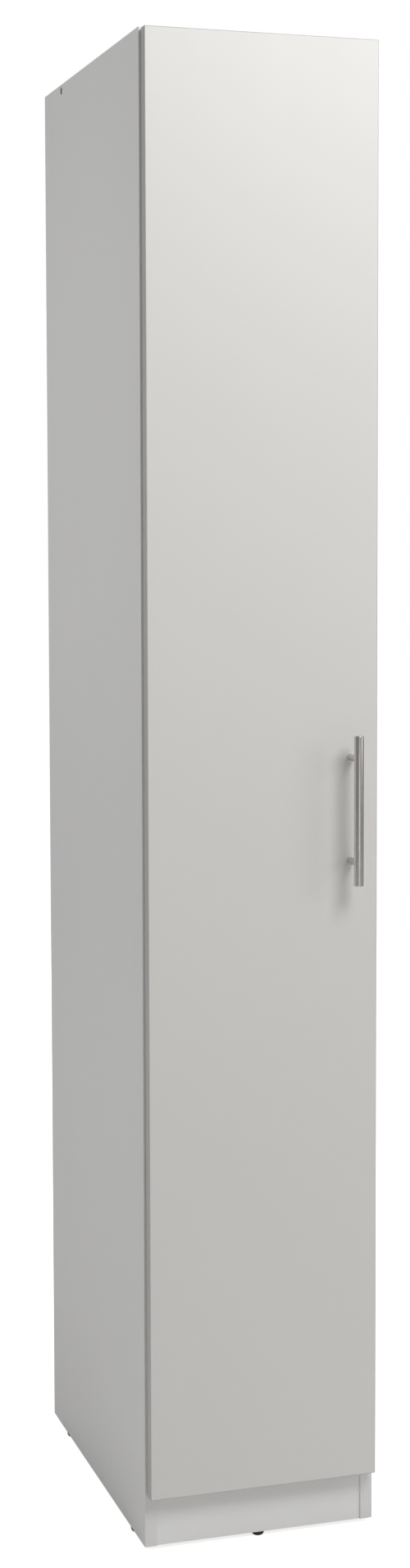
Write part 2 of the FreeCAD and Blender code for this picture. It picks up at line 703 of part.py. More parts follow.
def handle():
    """A round bar on two posts, held by screws from the door's back."""
    x = f"{DOOR_LEFT} + {DOOR_WIDTH} - handle_edge"
    axis_y = f"({DOOR_FACE} - handle_reach + handle_diameter / 2)"
    radius = "(handle_diameter / 2)"
    rounded = f"({radius} - handle_round)"
    bar = turned("handle_bar", [
        ("0", "0"), (rounded, "0"), (radius, "handle_round"), (radius, "handle_long - handle_round"),
        (rounded, "handle_long"), ("0", "handle_long"),
    ])
    seats = [("0", f"handle_long / 2 {sign} handle_pitch / 2") for sign in "-+"]
    bores(bar, "Y", radius, -1, "post_seat", "post_diameter + 2 * fit", seats, POST_SIDES)
    place(bar, x, axis_y, "handle_level - handle_long / 2")
    node(bar, "handle_bar")

    posts, screws = [], []
    length = "(handle_reach - handle_diameter + post_seat)"
    for sign in "-+":
        height = f"handle_level {sign} handle_pitch / 2"
        post = new_body("handle_post")
        end = ring(sketch_across(post, "Y", f"-{length}"), "0", "0", "post_diameter", POST_SIDES)
        pad(post, "Y", end, length)
        thread = f"handle_screw_in + {SPARE}"
        bores(post, "Y", "0", -1, thread, "handle_screw + 2 * fit", [("0", "0")])
        place(post, x, DOOR_FACE, height)
        posts.append(post)
        screw = stacked("handle_screw", [
            ("handle_screw", "(-handle_screw_in - door_board)", "0"),
            ("handle_screw_head", "0", "handle_screw_head_thick"),
        ])
        place(screw, x, DOOR_BACK, height, TURNS["Y"])
        screws.append(screw)
    group("handle_posts", posts)
    group("handle_screws", screws)


# Cup hinges. In a hinge's own frame X is measured inwards from the side panel's outer face, Y back
# from the carcass's front, and Z from the hinge's middle, along its pins.
CUP_AXIS = "(reveal_side + cup_edge)"
CUP_MOUTH = "(-door_gap)"
LONG_ROOT = ("(board + arm_pin_long_in)", "arm_pin_long_back")
SHORT_ROOT = ("(board + arm_pin_short_in)", "arm_pin_short_back")
LONG_TIP = (f"({CUP_AXIS} - cup_pin_long_off)", "(-door_gap - cup_pin_long_deep)")
SHORT_TIP = (f"({CUP_AXIS} - cup_pin_short_off)", "(-door_gap - cup_pin_short_deep)")
PIN_BORE = "(pin_diameter + 2 * fit)"
AXLE_BORE = f"({PIN_BORE} * {ROUNDING})"
OPEN_EYE_BORE = "(pin_diameter + 2 * open_eye_play)"
ARM_WIDTH = "(arm_inside + 2 * arm_sheet)"
EARS_WIDTH = "(cup_ear_inside + 2 * cup_ear_thick)"
FORK_OUTSIDE = "(fork_inside + 2 * fork_thick)"
SEAT = "(board + plate_height)"
WEB_REAR = f"({SEAT} + arm_sheet)"
RIDGE_REAR = "(arm_rear - ridge_short)"
ARM_SCREWS = ("(ridge_front + arm_screw_edge)", f"({RIDGE_REAR} - arm_screw_edge)")


def put_in_hinge(piece, count, x="0", y="0", z="0", turn=TURNS["Z"]):
    """Places a piece that is drawn in the frame of one hinge."""
    place(piece, f"{LEFT} + {x}", f"{FRONT} + {y}", f"{hinge_level(count)} + {z}", turn)


def hinge_cup(count):
    """A pressed cup with its screw flange, and two ears on its floor that hold the pins."""
    cup = new_body(f"hinge_cup_{count + 1}")
    floor = f"({CUP_MOUTH} - cup_deep)"
    drum = ring(sketch_across(cup, "Y", floor), CUP_AXIS, "0", "cup_diameter", CUP_SIDES)
    pad(cup, "Y", drum, "cup_deep")
    tab, near = f"({CUP_AXIS} + cup_screw_off)", f"({CUP_AXIS} - flange_near)"
    end, half = "(flange_long / 2)", "(flange_wide / 2)"
    upper = [
        (f"{tab} + {half}", f"({end} - flange_corner)"), (f"{tab} + {half} - flange_corner", end),
        (f"{tab} - {half} + flange_corner", end), (f"{tab} - {half}", f"({end} - flange_corner)"),
        (near, "flange_waist"),
    ]
    lower = [(x, f"-{up}") for x, up in reversed(upper)]
    pad(cup, "Y", outline(sketch_across(cup, "Y", CUP_MOUTH), upper + lower), "flange_thick")
    rim = ring(sketch_across(cup, "Y", CUP_MOUTH), CUP_AXIS, "0", "cup_rim", CUP_SIDES)
    pad(cup, "Y", rim, "flange_thick")
    hollow = sketch_across(cup, "Y", f"{CUP_MOUTH} + flange_thick")
    ring(hollow, CUP_AXIS, "0", "cup_diameter - 2 * cup_wall", CUP_SIDES)
    pocket(cup, "Y", hollow, "cup_deep + flange_thick - cup_wall", -1)
    screws = [(tab, f"0 {sign} cup_screw_pitch / 2") for sign in "-+"]
    bores(cup, "Y", f"{CUP_MOUTH} + flange_thick", -1, "flange_thick", "cup_screw + 2 * fit", screws)
    for start in (f"-{EARS_WIDTH} / 2", "cup_ear_inside / 2"):
        ear = sketch_across(cup, "Z", start)
        rectangle(
            ear, f"{LONG_TIP[0]} - eye_diameter / 2", f"{floor} + cup_wall",
            f"{SHORT_TIP[0]} + eye_diameter / 2", f"{LONG_TIP[1]} + eye_diameter / 2",
        )
        pad(cup, "Z", ear, "cup_ear_thick")
    for point, diameter in ((LONG_TIP, AXLE_BORE), (SHORT_TIP, PIN_BORE)):
        bores(cup, "Z", f"{EARS_WIDTH} / 2", -1, EARS_WIDTH, diameter, [point])
    put_in_hinge(cup, count)
    node(cup, f"hinge_cup_{count + 1}")


def hinge_arm(count):
    """A folded arm: two walls with the pins' eyes, joined by a web that clips over the plate."""
    arm = new_body(f"hinge_arm_{count + 1}")
    low = "(board + wing_thick + arm_clear)"
    roof = f"({LONG_ROOT[0]} + eye_diameter / 2 + arm_crest)"
    crest, crest_rear = f"({roof} + arm_sheet)", "(arm_pin_long_back + crest_half)"
    walls = sketch_across(arm, "Z", f"-{ARM_WIDTH} / 2")
    outline(walls, [
        (low, "arm_rear"), (low, "arm_pin_long_back + wall_step"),
        (f"{SHORT_ROOT[0]} - arm_nose / 2", SHORT_ROOT[1]),
        (f"{SHORT_ROOT[0]} + arm_nose / 2", SHORT_ROOT[1]),
        (crest, "arm_pin_long_back - crest_half"), (crest, crest_rear),
        (WEB_REAR, "slope_rear"), (WEB_REAR, "arm_rear"),
    ])
    pad(arm, "Z", walls, ARM_WIDTH)
    pad(arm, "Z", ring(sketch_across(arm, "Z", f"-{ARM_WIDTH} / 2"), *SHORT_ROOT, "arm_nose"), ARM_WIDTH)
    under = sketch_across(arm, "Z", "arm_inside / 2")
    clear_low, clear_front = f"({low} - {SPARE})", f"({SHORT_ROOT[1]} - arm_nose)"
    outline(under, [
        (clear_low, f"arm_rear + {SPARE}"), (clear_low, clear_front), (roof, clear_front),
        (roof, f"{crest_rear} - arm_sheet / 2"), (SEAT, "slope_rear - arm_sheet / 2"),
        (SEAT, f"arm_rear + {SPARE}"),
    ])
    pocket(arm, "Z", under, "arm_inside", -1)
    bores(arm, "Z", f"{ARM_WIDTH} / 2", -1, ARM_WIDTH, AXLE_BORE, [LONG_ROOT, SHORT_ROOT])
    holes = [(back, "0") for back in ARM_SCREWS]
    bores(arm, "X", WEB_REAR, -1, "arm_sheet", "arm_screw + 2 * fit", holes)
    put_in_hinge(arm, count)
    node(arm, f"hinge_arm_{count + 1}")


def hinge_plate(count):
    """A mounting plate: two wings screwed to the side panel, and the ridge that carries the arm."""
    plate = new_body(f"hinge_plate_{count + 1}")
    near, far = "(plate_setback - wing_wide / 2)", "(plate_setback + wing_wide / 2)"
    end, side = "(wing_long / 2)", "(wing_long / 2 - wing_corner)"
    upper = [(far, side), (f"{far} - wing_corner", end), (f"{near} + wing_corner", end), (near, side)]
    lower = [(back, f"-{up}") for back, up in reversed(upper)]
    wings = outline(sketch_across(plate, "X", "board"), upper + lower)
    pad(plate, "X", wings, "wing_thick")
    half = "(arm_inside / 2 - link_play)"
    ridge = sketch_across(plate, "X", "board")
    rectangle(ridge, "ridge_front", f"-{half}", RIDGE_REAR, half)
    pad(plate, "X", ridge, "plate_height")
    screws = [("plate_setback", f"0 {sign} plate_pitch / 2") for sign in "-+"]
    bores(plate, "X", "board + wing_thick", -1, "wing_thick", "plate_screw + 2 * fit", screws)
    threads = [(back, "0") for back in ARM_SCREWS]
    bores(plate, "X", SEAT, -1, "plate_height - plate_floor", "arm_screw + 2 * fit", threads)
    put_in_hinge(plate, count)
    node(plate, f"hinge_plate_{count + 1}")


def cranked_link(name, count, tip, root, bar, elbow, eyes, low, wide):
    """A cranked link: drawn with its cup pin at the origin and its arm pin on the X axis.

    The bar runs from the cup pin to the elbow and on to the arm pin, with an eye at each pin. The
    elbow carries it round the cup's rim when the door is open.
    """
    link = new_body(name)
    reach = [f"({b} - {a})" for a, b in zip(tip, root)]
    length = f"sqrt({reach[0]}^2 + {reach[1]}^2)"
    along, off = elbow
    points = [("0", "0"), (along, f"-{off}"), (length, "0")]
    for start, finish in zip(points, points[1:]):
        run, rise = f"({finish[0]} - {start[0]})", f"({finish[1]} - ({start[1]}))"
        share = f"{bar} / 2 / sqrt({run}^2 + {rise}^2)"
        side = (f"{rise} * {share}", f"{run} * {share}")
        corners = [
            (f"{point[0]} {east} {side[0]}", f"{point[1]} {north} {side[1]}")
            for point, east, north in (
                (start, "+", "-"), (finish, "+", "-"), (finish, "-", "+"), (start, "-", "+"),
            )
        ]
        pad(link, "Z", outline(sketch_across(link, "Z", low), corners), wide)
    for point, diameter in zip(points, (eyes[0][1], bar, eyes[1][1])):
        pad(link, "Z", ring(sketch_across(link, "Z", low), *point, diameter), wide)
    for point, (bore, _) in zip((points[0], points[2]), eyes):
        bores(link, "Z", low, 1, wide, bore, [point])
    link.Placement.Rotation = FreeCAD.Rotation(FreeCAD.Vector(0, 0, 1), 1)
    link.setExpression("Placement.Rotation.Angle", bound(f"atan2({reach[1]}; {reach[0]})"))
    for axis, expression in zip("xyz", (f"{LEFT} + {tip[0]}", f"{FRONT} + {tip[1]}", hinge_level(count))):
        link.setExpression(f"Placement.Base.{axis}", bound(expression))
    return link


def hinge_links(count):
    """The long link in the middle, and the short link's two plates on either side of it."""
    eye = (AXLE_BORE, "eye_diameter")
    open_eye = (f"{OPEN_EYE_BORE} * {ROUNDING}", "open_eye_diameter")
    name, elbow = f"hinge_long_link_{count + 1}", ("long_elbow_along", "long_elbow_off")
    long_link = cranked_link(
        name, count, LONG_TIP, LONG_ROOT, "long_link_bar", elbow, (eye, eye),
        "-long_link_wide / 2", "long_link_wide",
    )
    node(long_link, name)
    elbow = ("short_elbow_along", "short_elbow_off")
    plates = [
        cranked_link(
            "hinge_short_plate", count, SHORT_TIP, SHORT_ROOT, "fork_bar", elbow, (open_eye, eye),
            low, "fork_thick",
        )
        for low in ("fork_inside / 2", f"-{FORK_OUTSIDE} / 2")
    ]
    group(f"hinge_short_link_{count + 1}", plates)


def hinge_pins():
    """The pins: whole ones through the long link, and stubs through the short link's plates.

    The short link has play round its stubs in the cup, so no joint turns on those.
    """
    stub_in_cup = f"({FORK_OUTSIDE} / 2 + link_play - cup_ear_inside / 2)"
    stub_in_arm = f"({ARM_WIDTH} / 2 - fork_inside / 2 + link_play)"
    inside_fork = "(fork_inside / 2 - link_play)"
    for name, whole, width, stub, make_stub, long, inner in (
        ("hinge_cup_pins", LONG_TIP, EARS_WIDTH, SHORT_TIP, rod, stub_in_cup, "cup_ear_inside / 2"),
        ("hinge_arm_pins", LONG_ROOT, ARM_WIDTH, SHORT_ROOT, axle, stub_in_arm, inside_fork),
    ):
        pins = []
        for count in range(HINGES):
            for make, point, length, low in (
                (axle, whole, width, f"(-{width} / 2)"),
                (make_stub, stub, long, inner),
                (make_stub, stub, long, f"(-{inner} - {long})"),
            ):
                pin = make("pin", "pin_diameter", length)
                put_in_hinge(pin, count, *point, low)
                pins.append(pin)
        group(name, pins)


def hinge_screw(kind, length):
    """A screw with a flat head: its shank runs up its own Z axis from under the head."""
    return stacked(kind, [(f"{kind}_head", f"(-{kind}_head_thick)", "0"), (kind, "0", length)])


def hinge_screws():
    """The screws of the mounting plates, of the arms on the plates and of the cups."""
    groups = {"plate_screw": [], "arm_screw": [], "cup_screw": []}
    for count in range(HINGES):
        for sign in "-+":
            screw = hinge_screw("plate_screw", "plate_screw_long")
            up = f"(0 {sign} plate_pitch / 2)"
            put_in_hinge(screw, count, "(board + wing_thick)", "plate_setback", up, TURNS["-X"])
            groups["plate_screw"].append(screw)
            screw = hinge_screw("cup_screw", "cup_screw_long")
            x, y = f"({CUP_AXIS} + cup_screw_off)", f"({CUP_MOUTH} + flange_thick)"
            put_in_hinge(screw, count, x, y, f"(0 {sign} cup_screw_pitch / 2)", TURNS["-Y"])
            groups["cup_screw"].append(screw)
        for back in ARM_SCREWS:
            screw = hinge_screw("arm_screw", f"(plate_height - plate_floor - {SPARE} + arm_sheet)")
            put_in_hinge(screw, count, WEB_REAR, back, turn=TURNS["-X"])
            groups["arm_screw"].append(screw)
    for kind, screws in groups.items():
        group(f"hinge_{kind}s", screws)


def hinges():
    for count in range(HINGES):
        hinge_cup(count)
        hinge_arm(count)
        hinge_plate(count)
        hinge_links(count)
    hinge_pins()
    hinge_screws()


def fill_sheet():
    for row, (name, value) in enumerate(SIZES.items(), start=1):
        SHEET.set(f"A{row}", name.replace("_", " "))
        SHEET.set(f"B{row}", str(value))
        SHEET.setAlias(f"B{row}", name)
    DOC.recompute()


def check_features():
    """Stops the script at a failed object, or at a pocket that cuts nothing away."""
    for item in DOC.Objects:
        if "Invalid" in item.State or "Error" in item.State:
            raise RuntimeError(f"{item.Name} failed: {item.State}")
        if item.TypeId == "PartDesign::Pocket":
            if item.BaseFeature.Shape.Volume - item.Shape.Volume < 0.01:
                raise RuntimeError(f"{item.Name} cuts nothing from {item.BaseFeature.Name}")


def write_parts():
    os.makedirs("parts", exist_ok=True)
    for piece in NODES:
        if piece.Shape.isNull() or not piece.Shape.isValid():
            raise RuntimeError(f"{piece.Label} has no valid shape")
    for piece in NODES:
        piece.Shape.exportStep(f"parts/{piece.Label}.step")


fill_sheet()
carcass()
carcass_bands()
cams()
dowels()
through_screws()
glides()
door()
bumpers()
handle()
hinges()
DOC.recompute()
check_features()
write_parts()
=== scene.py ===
import json
import math

import bpy
import numpy as np
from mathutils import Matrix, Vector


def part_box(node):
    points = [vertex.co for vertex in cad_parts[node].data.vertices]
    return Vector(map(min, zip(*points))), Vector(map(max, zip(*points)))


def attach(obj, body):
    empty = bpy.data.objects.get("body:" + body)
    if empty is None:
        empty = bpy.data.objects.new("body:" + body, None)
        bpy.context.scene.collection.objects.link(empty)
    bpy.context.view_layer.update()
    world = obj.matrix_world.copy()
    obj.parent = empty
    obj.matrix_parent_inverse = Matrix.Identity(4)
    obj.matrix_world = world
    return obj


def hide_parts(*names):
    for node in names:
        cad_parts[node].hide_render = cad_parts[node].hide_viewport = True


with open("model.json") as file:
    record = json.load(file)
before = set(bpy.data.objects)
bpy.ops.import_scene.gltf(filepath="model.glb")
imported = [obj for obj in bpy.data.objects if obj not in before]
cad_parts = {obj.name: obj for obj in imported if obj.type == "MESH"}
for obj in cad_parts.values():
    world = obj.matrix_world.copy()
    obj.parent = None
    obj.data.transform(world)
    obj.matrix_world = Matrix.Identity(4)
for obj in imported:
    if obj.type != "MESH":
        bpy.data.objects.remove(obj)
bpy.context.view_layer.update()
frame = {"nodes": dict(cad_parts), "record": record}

# Broom cupboard: the boards' finishes, their bands, the handle, the hinges and every fastener, and
# the studio. X runs to the right, Y to the back and Z up, with the origin on the floor. Pieces are
# drawn in millimetres and made in metres.

MM = 0.001


def corners(node):
    """A node's lowest and highest corners, in millimetres."""
    low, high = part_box(node)
    return np.array(low) / MM, np.array(high) / MM


# Planes of the cupboard
LEFT, RIGHT = corners("side_panel_left")[0][0], corners("side_panel_right")[1][0]
INNER_LEFT, INNER_RIGHT = corners("side_panel_left")[1][0], corners("side_panel_right")[0][0]
FRONT = corners("side_band_left")[0][1]
REAR = corners("side_panel_left")[1][1]
DOOR_FACE, DOOR_BACK = corners("door_panel")[0][1], corners("door_panel")[1][1]
BOARD = INNER_LEFT - LEFT
UNDERSIDES = {name: corners(name)[0][2] for name in ("top_panel", "fixed_shelf", "base_panel")}


# ---------------------------------------------------------------- shaders

class Net:
    """Short ways to add and join the nodes of one tree."""

    def __init__(self, tree):
        self.tree = tree

    def feed(self, socket, value):
        """Joins a socket to another one, or sets it to a plain value."""
        if isinstance(value, bpy.types.NodeSocket):
            self.tree.links.new(value, socket)
        else:
            socket.default_value = value

    def node(self, kind, sockets=None, **settings):
        """A new node, with its settings made and its sockets fed."""
        made = self.tree.nodes.new(kind)
        for name, value in settings.items():
            setattr(made, name, value)
        for name, value in (sockets or {}).items():
            self.feed(made.inputs[name], value)
        return made

    def math(self, operation, a, b=0.0):
        """The result of one operation on two numbers."""
        return self.node("ShaderNodeMath", {0: a, 1: b}, operation=operation).outputs[0]

    def span(self, value, low, high, to_low=0.0, to_high=1.0):
        """The value moved evenly from one range to another, and kept inside it."""
        sockets = {"Value": value, "From Min": low, "From Max": high, "To Min": to_low, "To Max": to_high}
        return self.node("ShaderNodeMapRange", sockets).outputs["Result"]

    def mix(self, share, a, b, blend="MIX"):
        """The colour a where the share is 0. Where it is 1, the colour b, or a and b blended."""
        made = self.node("ShaderNodeMix", data_type="RGBA", blend_type=blend)
        for socket, value in ((made.inputs[0], share), (made.inputs[6], a), (made.inputs[7], b)):
            self.feed(socket, value)
        return made.outputs[2]

    def blend(self, share, a, b):
        """The number a where the share is 0, and b where it is 1."""
        made = self.node("ShaderNodeMix", data_type="FLOAT")
        for socket, value in ((made.inputs[0], share), (made.inputs[2], a), (made.inputs[3], b)):
            self.feed(socket, value)
        return made.outputs[0]

    def along(self, place, axis):
        """One coordinate of a place: 0 for X, 1 for Y and 2 for Z."""
        return self.node("ShaderNodeSeparateXYZ", {0: place}).outputs[axis]

    def times(self, place, factors):
        """A place multiplied along each axis by factors that a group's user may set."""
        return self.node("ShaderNodeVectorMath", {0: place, 1: factors}, operation="MULTIPLY").outputs[0]

    def stretched(self, place, scale):
        """A place scaled along each axis, for a pattern that is longer one way than another."""
        return self.node("ShaderNodeMapping", {"Vector": place, "Scale": scale}).outputs[0]

    def noise(self, place, scale, detail=2.0, roughness=0.5):
        """A smooth random number from 0 to 1."""
        sockets = {"Vector": place, "Scale": scale, "Detail": detail, "Roughness": roughness}
        return self.node("ShaderNodeTexNoise", sockets).outputs["Fac"]

    def cells(self, place, scale, channel):
        """A random number for each cell: one channel of the cell's random colour."""
        colour = self.node("ShaderNodeTexVoronoi", {"Vector": place, "Scale": scale}).outputs["Color"]
        return self.node("ShaderNodeSeparateColor", {0: colour}).outputs[channel]

    def shaded(self, colour, gain):
        """The colour made lighter or darker by a number."""
        grey = self.node("ShaderNodeCombineColor", {0: gain, 1: gain, 2: gain}).outputs[0]
        return self.mix(1.0, colour, grey, "MULTIPLY")

    def varied(self, value, share):
        """1 plus a share of how far a noise value lies from its middle."""
        return self.math("ADD", self.math("MULTIPLY", self.math("SUBTRACT", value, 0.5), share), 1.0)


KINDS = {"Vector": "NodeSocketVector", "Color": "NodeSocketColor", "Float": "NodeSocketFloat"}
EXITS = {"Colour": "Color", "Roughness": "Float", "Height": "Float"}


def shader_group(name, entries):
    """An empty group with the exits of a finish. Its entries are {name: (kind, value)}."""
    tree = bpy.data.node_groups.new(name, "ShaderNodeTree")
    for label, (kind, value) in entries.items():
        tree.interface.new_socket(label, in_out="INPUT", socket_type=KINDS[kind]).default_value = value
    for label, kind in EXITS.items():
        tree.interface.new_socket(label, in_out="OUTPUT", socket_type=KINDS[kind])
    enter = tree.nodes.new("NodeGroupInput").outputs
    leave = tree.nodes.new("NodeGroupOutput").inputs
    return tree, Net(tree), enter, leave


def coating_group():
    """A smooth coating: slow drift and fine grain in its colour, and wiping marks in its gloss."""
    tree, net, enter, leave = shader_group("coating", {
        "Place": ("Vector", (0, 0, 0)),
        "Colour": ("Color", (0.8, 0.8, 0.8, 1)),
        "Roughness": ("Float", 0.4),
        "Drift": ("Float", 0.03),
        "Grain": ("Float", 900.0),
    })
    slow = net.noise(enter["Place"], 3.0, detail=3.0)
    grain = net.noise(enter["Place"], enter["Grain"], detail=3.0, roughness=0.6)
    upright = net.stretched(enter["Place"], (1.0, 1.0, 0.2))
    wiping = net.noise(upright, 25.0, detail=4.0, roughness=0.65)
    gain = net.math("MULTIPLY", net.varied(slow, enter["Drift"]), net.varied(grain, 0.04))
    net.feed(leave["Colour"], net.shaded(enter["Colour"], gain))
    net.feed(leave["Roughness"], net.math("MULTIPLY", enter["Roughness"], net.varied(wiping, 0.35)))
    net.feed(leave["Height"], grain)
    return tree


def chips_group():
    """Chipboard where it is cut: pale and dark chips, lying flat along the board."""
    tree, net, enter, leave = shader_group("chips", {
        "Place": ("Vector", (0, 0, 0)),
        "Flat": ("Vector", (1, 1, 1)),
    })
    pale, dark = (0.62, 0.45, 0.27, 1), (0.30, 0.19, 0.10, 1)
    place = net.times(enter["Place"], enter["Flat"])
    big, small = net.cells(place, 260.0, 0), net.cells(place, 700.0, 1)
    dust = net.noise(place, 1500.0, roughness=0.7)
    chip = net.math("ADD", net.math("MULTIPLY", big, 0.6), net.math("MULTIPLY", small, 0.4))
    gaps = net.span(dust, 0.32, 0.42, 0.45, 1.0)
    net.feed(leave["Colour"], net.shaded(net.mix(net.span(chip, 0.15, 0.9), pale, dark), gaps))
    net.feed(leave["Roughness"], net.span(dust, 0.0, 1.0, 0.78, 0.95))
    net.feed(leave["Height"], net.math("ADD", net.math("MULTIPLY", chip, 0.6), dust))
    return tree


def metal_group():
    """A metal finish: fine lines or grains, cloudy gloss and a slight change of tone."""
    tree, net, enter, leave = shader_group("metal", {
        "Place": ("Vector", (0, 0, 0)),
        "Colour": ("Color", (0.6, 0.6, 0.6, 1)),
        "Roughness": ("Float", 0.3),
        "Lines": ("Vector", (1, 1, 1)),
        "Cloud": ("Float", 0.3),
        "Streak": ("Float", 0.1),
    })
    lines = net.noise(net.times(enter["Place"], enter["Lines"]), 1.0, detail=3.0, roughness=0.7)
    cloud = net.noise(enter["Place"], 160.0, detail=4.0, roughness=0.6)
    tone = net.math("MULTIPLY", net.varied(lines, enter["Streak"]), net.varied(cloud, 0.14))
    gloss = net.math("MULTIPLY", net.varied(cloud, enter["Cloud"]), net.varied(lines, 0.25))
    net.feed(leave["Colour"], net.shaded(enter["Colour"], tone))
    net.feed(leave["Roughness"], net.math("MULTIPLY", enter["Roughness"], gloss))
    net.feed(leave["Height"], lines)
    return tree


COATING, CHIPS, METAL = coating_group(), chips_group(), metal_group()


def new_material(name):
    """A material with its tree, its shader and the object's own coordinates."""
    material = bpy.data.materials.new(name)
    material.use_nodes = True
    net = Net(material.node_tree)
    shader = material.node_tree.nodes["Principled BSDF"].inputs
    return material, net, shader, net.node("ShaderNodeTexCoord").outputs["Object"]


def effect(net, group, **values):
    """The exits of a shared group, placed with a material's own values."""
    sockets = {name.title(): value for name, value in values.items()}
    return net.node("ShaderNodeGroup", sockets, node_tree=group).outputs


def coat(net, place, colour, roughness, drift=0.03, grain=900.0):
    """The exits of a coating."""
    colour = (*colour, 1)
    return effect(net, COATING, place=place, colour=colour, roughness=roughness, drift=drift, grain=grain)


def dress(net, shader, colour, roughness, height, depth):
    """Gives a shader its colour, its roughness and a relief, whose depth is in millimetres."""
    relief = net.node("ShaderNodeBump", {"Height": height, "Strength": 1.0, "Distance": depth * MM})
    net.feed(shader["Base Color"], colour)
    net.feed(shader["Roughness"], roughness)
    net.feed(shader["Normal"], relief.outputs["Normal"])


def band_material(name, colour, roughness, grain):
    """An edge band: a smooth coating all over."""
    material, net, shader, place = new_material(name)
    skin = coat(net, place, colour, roughness, grain=grain)
    dress(net, shader, skin["Colour"], skin["Roughness"], skin["Height"], 0.02)
    return material


def metal_material(name, colour, roughness, lines, cloud, streak=0.1, depth=0.01):
    """A metal, with so many lines to the metre along X, Y and Z."""
    material, net, shader, place = new_material(name)
    skin = effect(net, METAL, place=place, colour=(*colour, 1), roughness=roughness, lines=lines,
                  cloud=cloud, streak=streak)
    shader["Metallic"].default_value = 1.0
    dress(net, shader, skin["Colour"], skin["Roughness"], skin["Height"], depth)
    return material


SKIN = 0.25    # how thick a board's white coating shows at its cut edges, in millimetres
WHITE = (0.80, 0.792, 0.785)
# The kickboard's whiter coat is painted light: it stands in for the brighter light on the kickboard,
# which is the same white board as the others. The door's warmer tone is its own.
COATS_AND_PAINTED_LIGHT = {"door_panel": (0.80, 0.782, 0.757), "kickboard": (0.93, 0.925, 0.91)}


def board_material(node):
    """A coated board: white on its two faces, bare chips in its edges, bores and grooves.

    A point is white where it lies less than the skin below either face, measured along the
    board's thickness. The chips lie flat: they are three times as long as they are thick.
    """
    low, high = (corner * MM for corner in corners(node))
    axis = int(np.argmin(high - low))
    middle, half = (low + high)[axis] / 2, (high - low)[axis] / 2
    material, net, shader, place = new_material(f"board_{node}")
    depth = net.math("ABSOLUTE", net.math("SUBTRACT", net.along(place, axis), float(middle)))
    ragged = net.math("MULTIPLY", net.varied(net.noise(place, 1800.0), 1.2), SKIN * MM)
    white = net.math("GREATER_THAN", net.math("ADD", depth, ragged), float(half))
    flat = np.where(np.arange(3) == axis, 3.0, 1.0).tolist()
    core = effect(net, CHIPS, place=place, flat=flat)
    # The kickboard's whiter coat here is painted light, not its own colour.
    skin = coat(net, place, COATS_AND_PAINTED_LIGHT.get(node, WHITE), 0.42, grain=1100.0)
    smooth = net.math("MULTIPLY", skin["Height"], 0.1)
    dress(
        net, shader,
        colour=net.mix(white, core["Colour"], skin["Colour"]),
        roughness=net.blend(white, core["Roughness"], skin["Roughness"]),
        height=net.blend(white, core["Height"], smooth), depth=0.2,
    )
    return material


def hardboard_material():
    """White paint on the front, bare brown fibre with the press screen's weave on the rear.

    The weave is sin(2 pi x / p) * sin(2 pi z / p), where p is the screen's pitch.
    """
    pitch, film = 1.8 * MM, 0.1 * MM
    low, high = (corner * MM for corner in corners("back_panel"))
    material, net, shader, place = new_material("hardboard_white")
    painted = net.math("LESS_THAN", net.along(place, 1), float(low[1] + film))
    rear = net.math("GREATER_THAN", net.along(place, 1), float(high[1] - film))
    waves = [net.math("MULTIPLY", net.along(place, axis), 2 * math.pi / pitch) for axis in (0, 2)]
    screen = net.math("MULTIPLY", *(net.math("SINE", wave) for wave in waves))
    fibre = net.noise(place, 450.0, detail=5.0, roughness=0.7)
    brown = net.mix(fibre, (0.22, 0.13, 0.075, 1), (0.42, 0.28, 0.17, 1))
    paint = coat(net, place, (0.76, 0.755, 0.74), 0.5, drift=0.05, grain=500.0)
    woven = net.math("ADD", fibre, net.math("MULTIPLY", screen, rear))
    smooth = net.math("MULTIPLY", paint["Height"], 0.15)
    dress(
        net, shader,
        colour=net.mix(painted, brown, paint["Colour"]),
        roughness=net.blend(painted, 0.82, paint["Roughness"]),
        height=net.blend(painted, woven, smooth), depth=0.2,
    )
    return material


def beech_material():
    """Grain that runs along X, with the short dark flecks of beech."""
    material, net, shader, place = new_material("beech")
    grain = net.noise(net.stretched(place, (60.0, 900.0, 900.0)), 1.0, detail=4.0, roughness=0.6)
    short = net.noise(net.stretched(place, (350.0, 2600.0, 2600.0)), 1.0, detail=1.0)
    flecks = net.span(short, 0.62, 0.68, 1.0, 0.6)
    wood = net.mix(grain, (0.50, 0.31, 0.17, 1), (0.72, 0.50, 0.31, 1))
    dress(net, shader, net.shaded(wood, flecks), net.span(grain, 0.0, 1.0, 0.75, 0.55), grain, 0.1)
    return material


def glide_material():
    """Black plastic, scuffed grey on the lowest part of its sole."""
    scuffed_up_to = 0.7 * MM
    material, net, shader, place = new_material("glide_black")
    across = net.stretched(place, (900.0, 200.0, 900.0))
    scratches = net.noise(across, 1.0, detail=4.0, roughness=0.7)
    near_floor = net.span(net.along(place, 2), 0.0, scuffed_up_to, 1.0, 0.0)
    scuffed = net.math("MULTIPLY", near_floor, net.span(scratches, 0.4, 0.6))
    skin = coat(net, place, (0.012, 0.012, 0.013), 0.42, drift=0.3, grain=1500.0)
    dress(
        net, shader,
        colour=net.mix(scuffed, skin["Colour"], (0.09, 0.09, 0.09, 1)),
        roughness=net.blend(scuffed, skin["Roughness"], 0.8),
        height=skin["Height"], depth=0.03,
    )
    return material


def bumper_material():
    """Clear soft plastic, a little cloudy."""
    material, net, shader, place = new_material("bumper_clear")
    skin = coat(net, place, (0.86, 0.86, 0.83), 0.18, drift=0.1, grain=2500.0)
    shader["Transmission Weight"].default_value = 0.7
    shader["IOR"].default_value = 1.42
    dress(net, shader, skin["Colour"], skin["Roughness"], skin["Height"], 0.01)
    return material


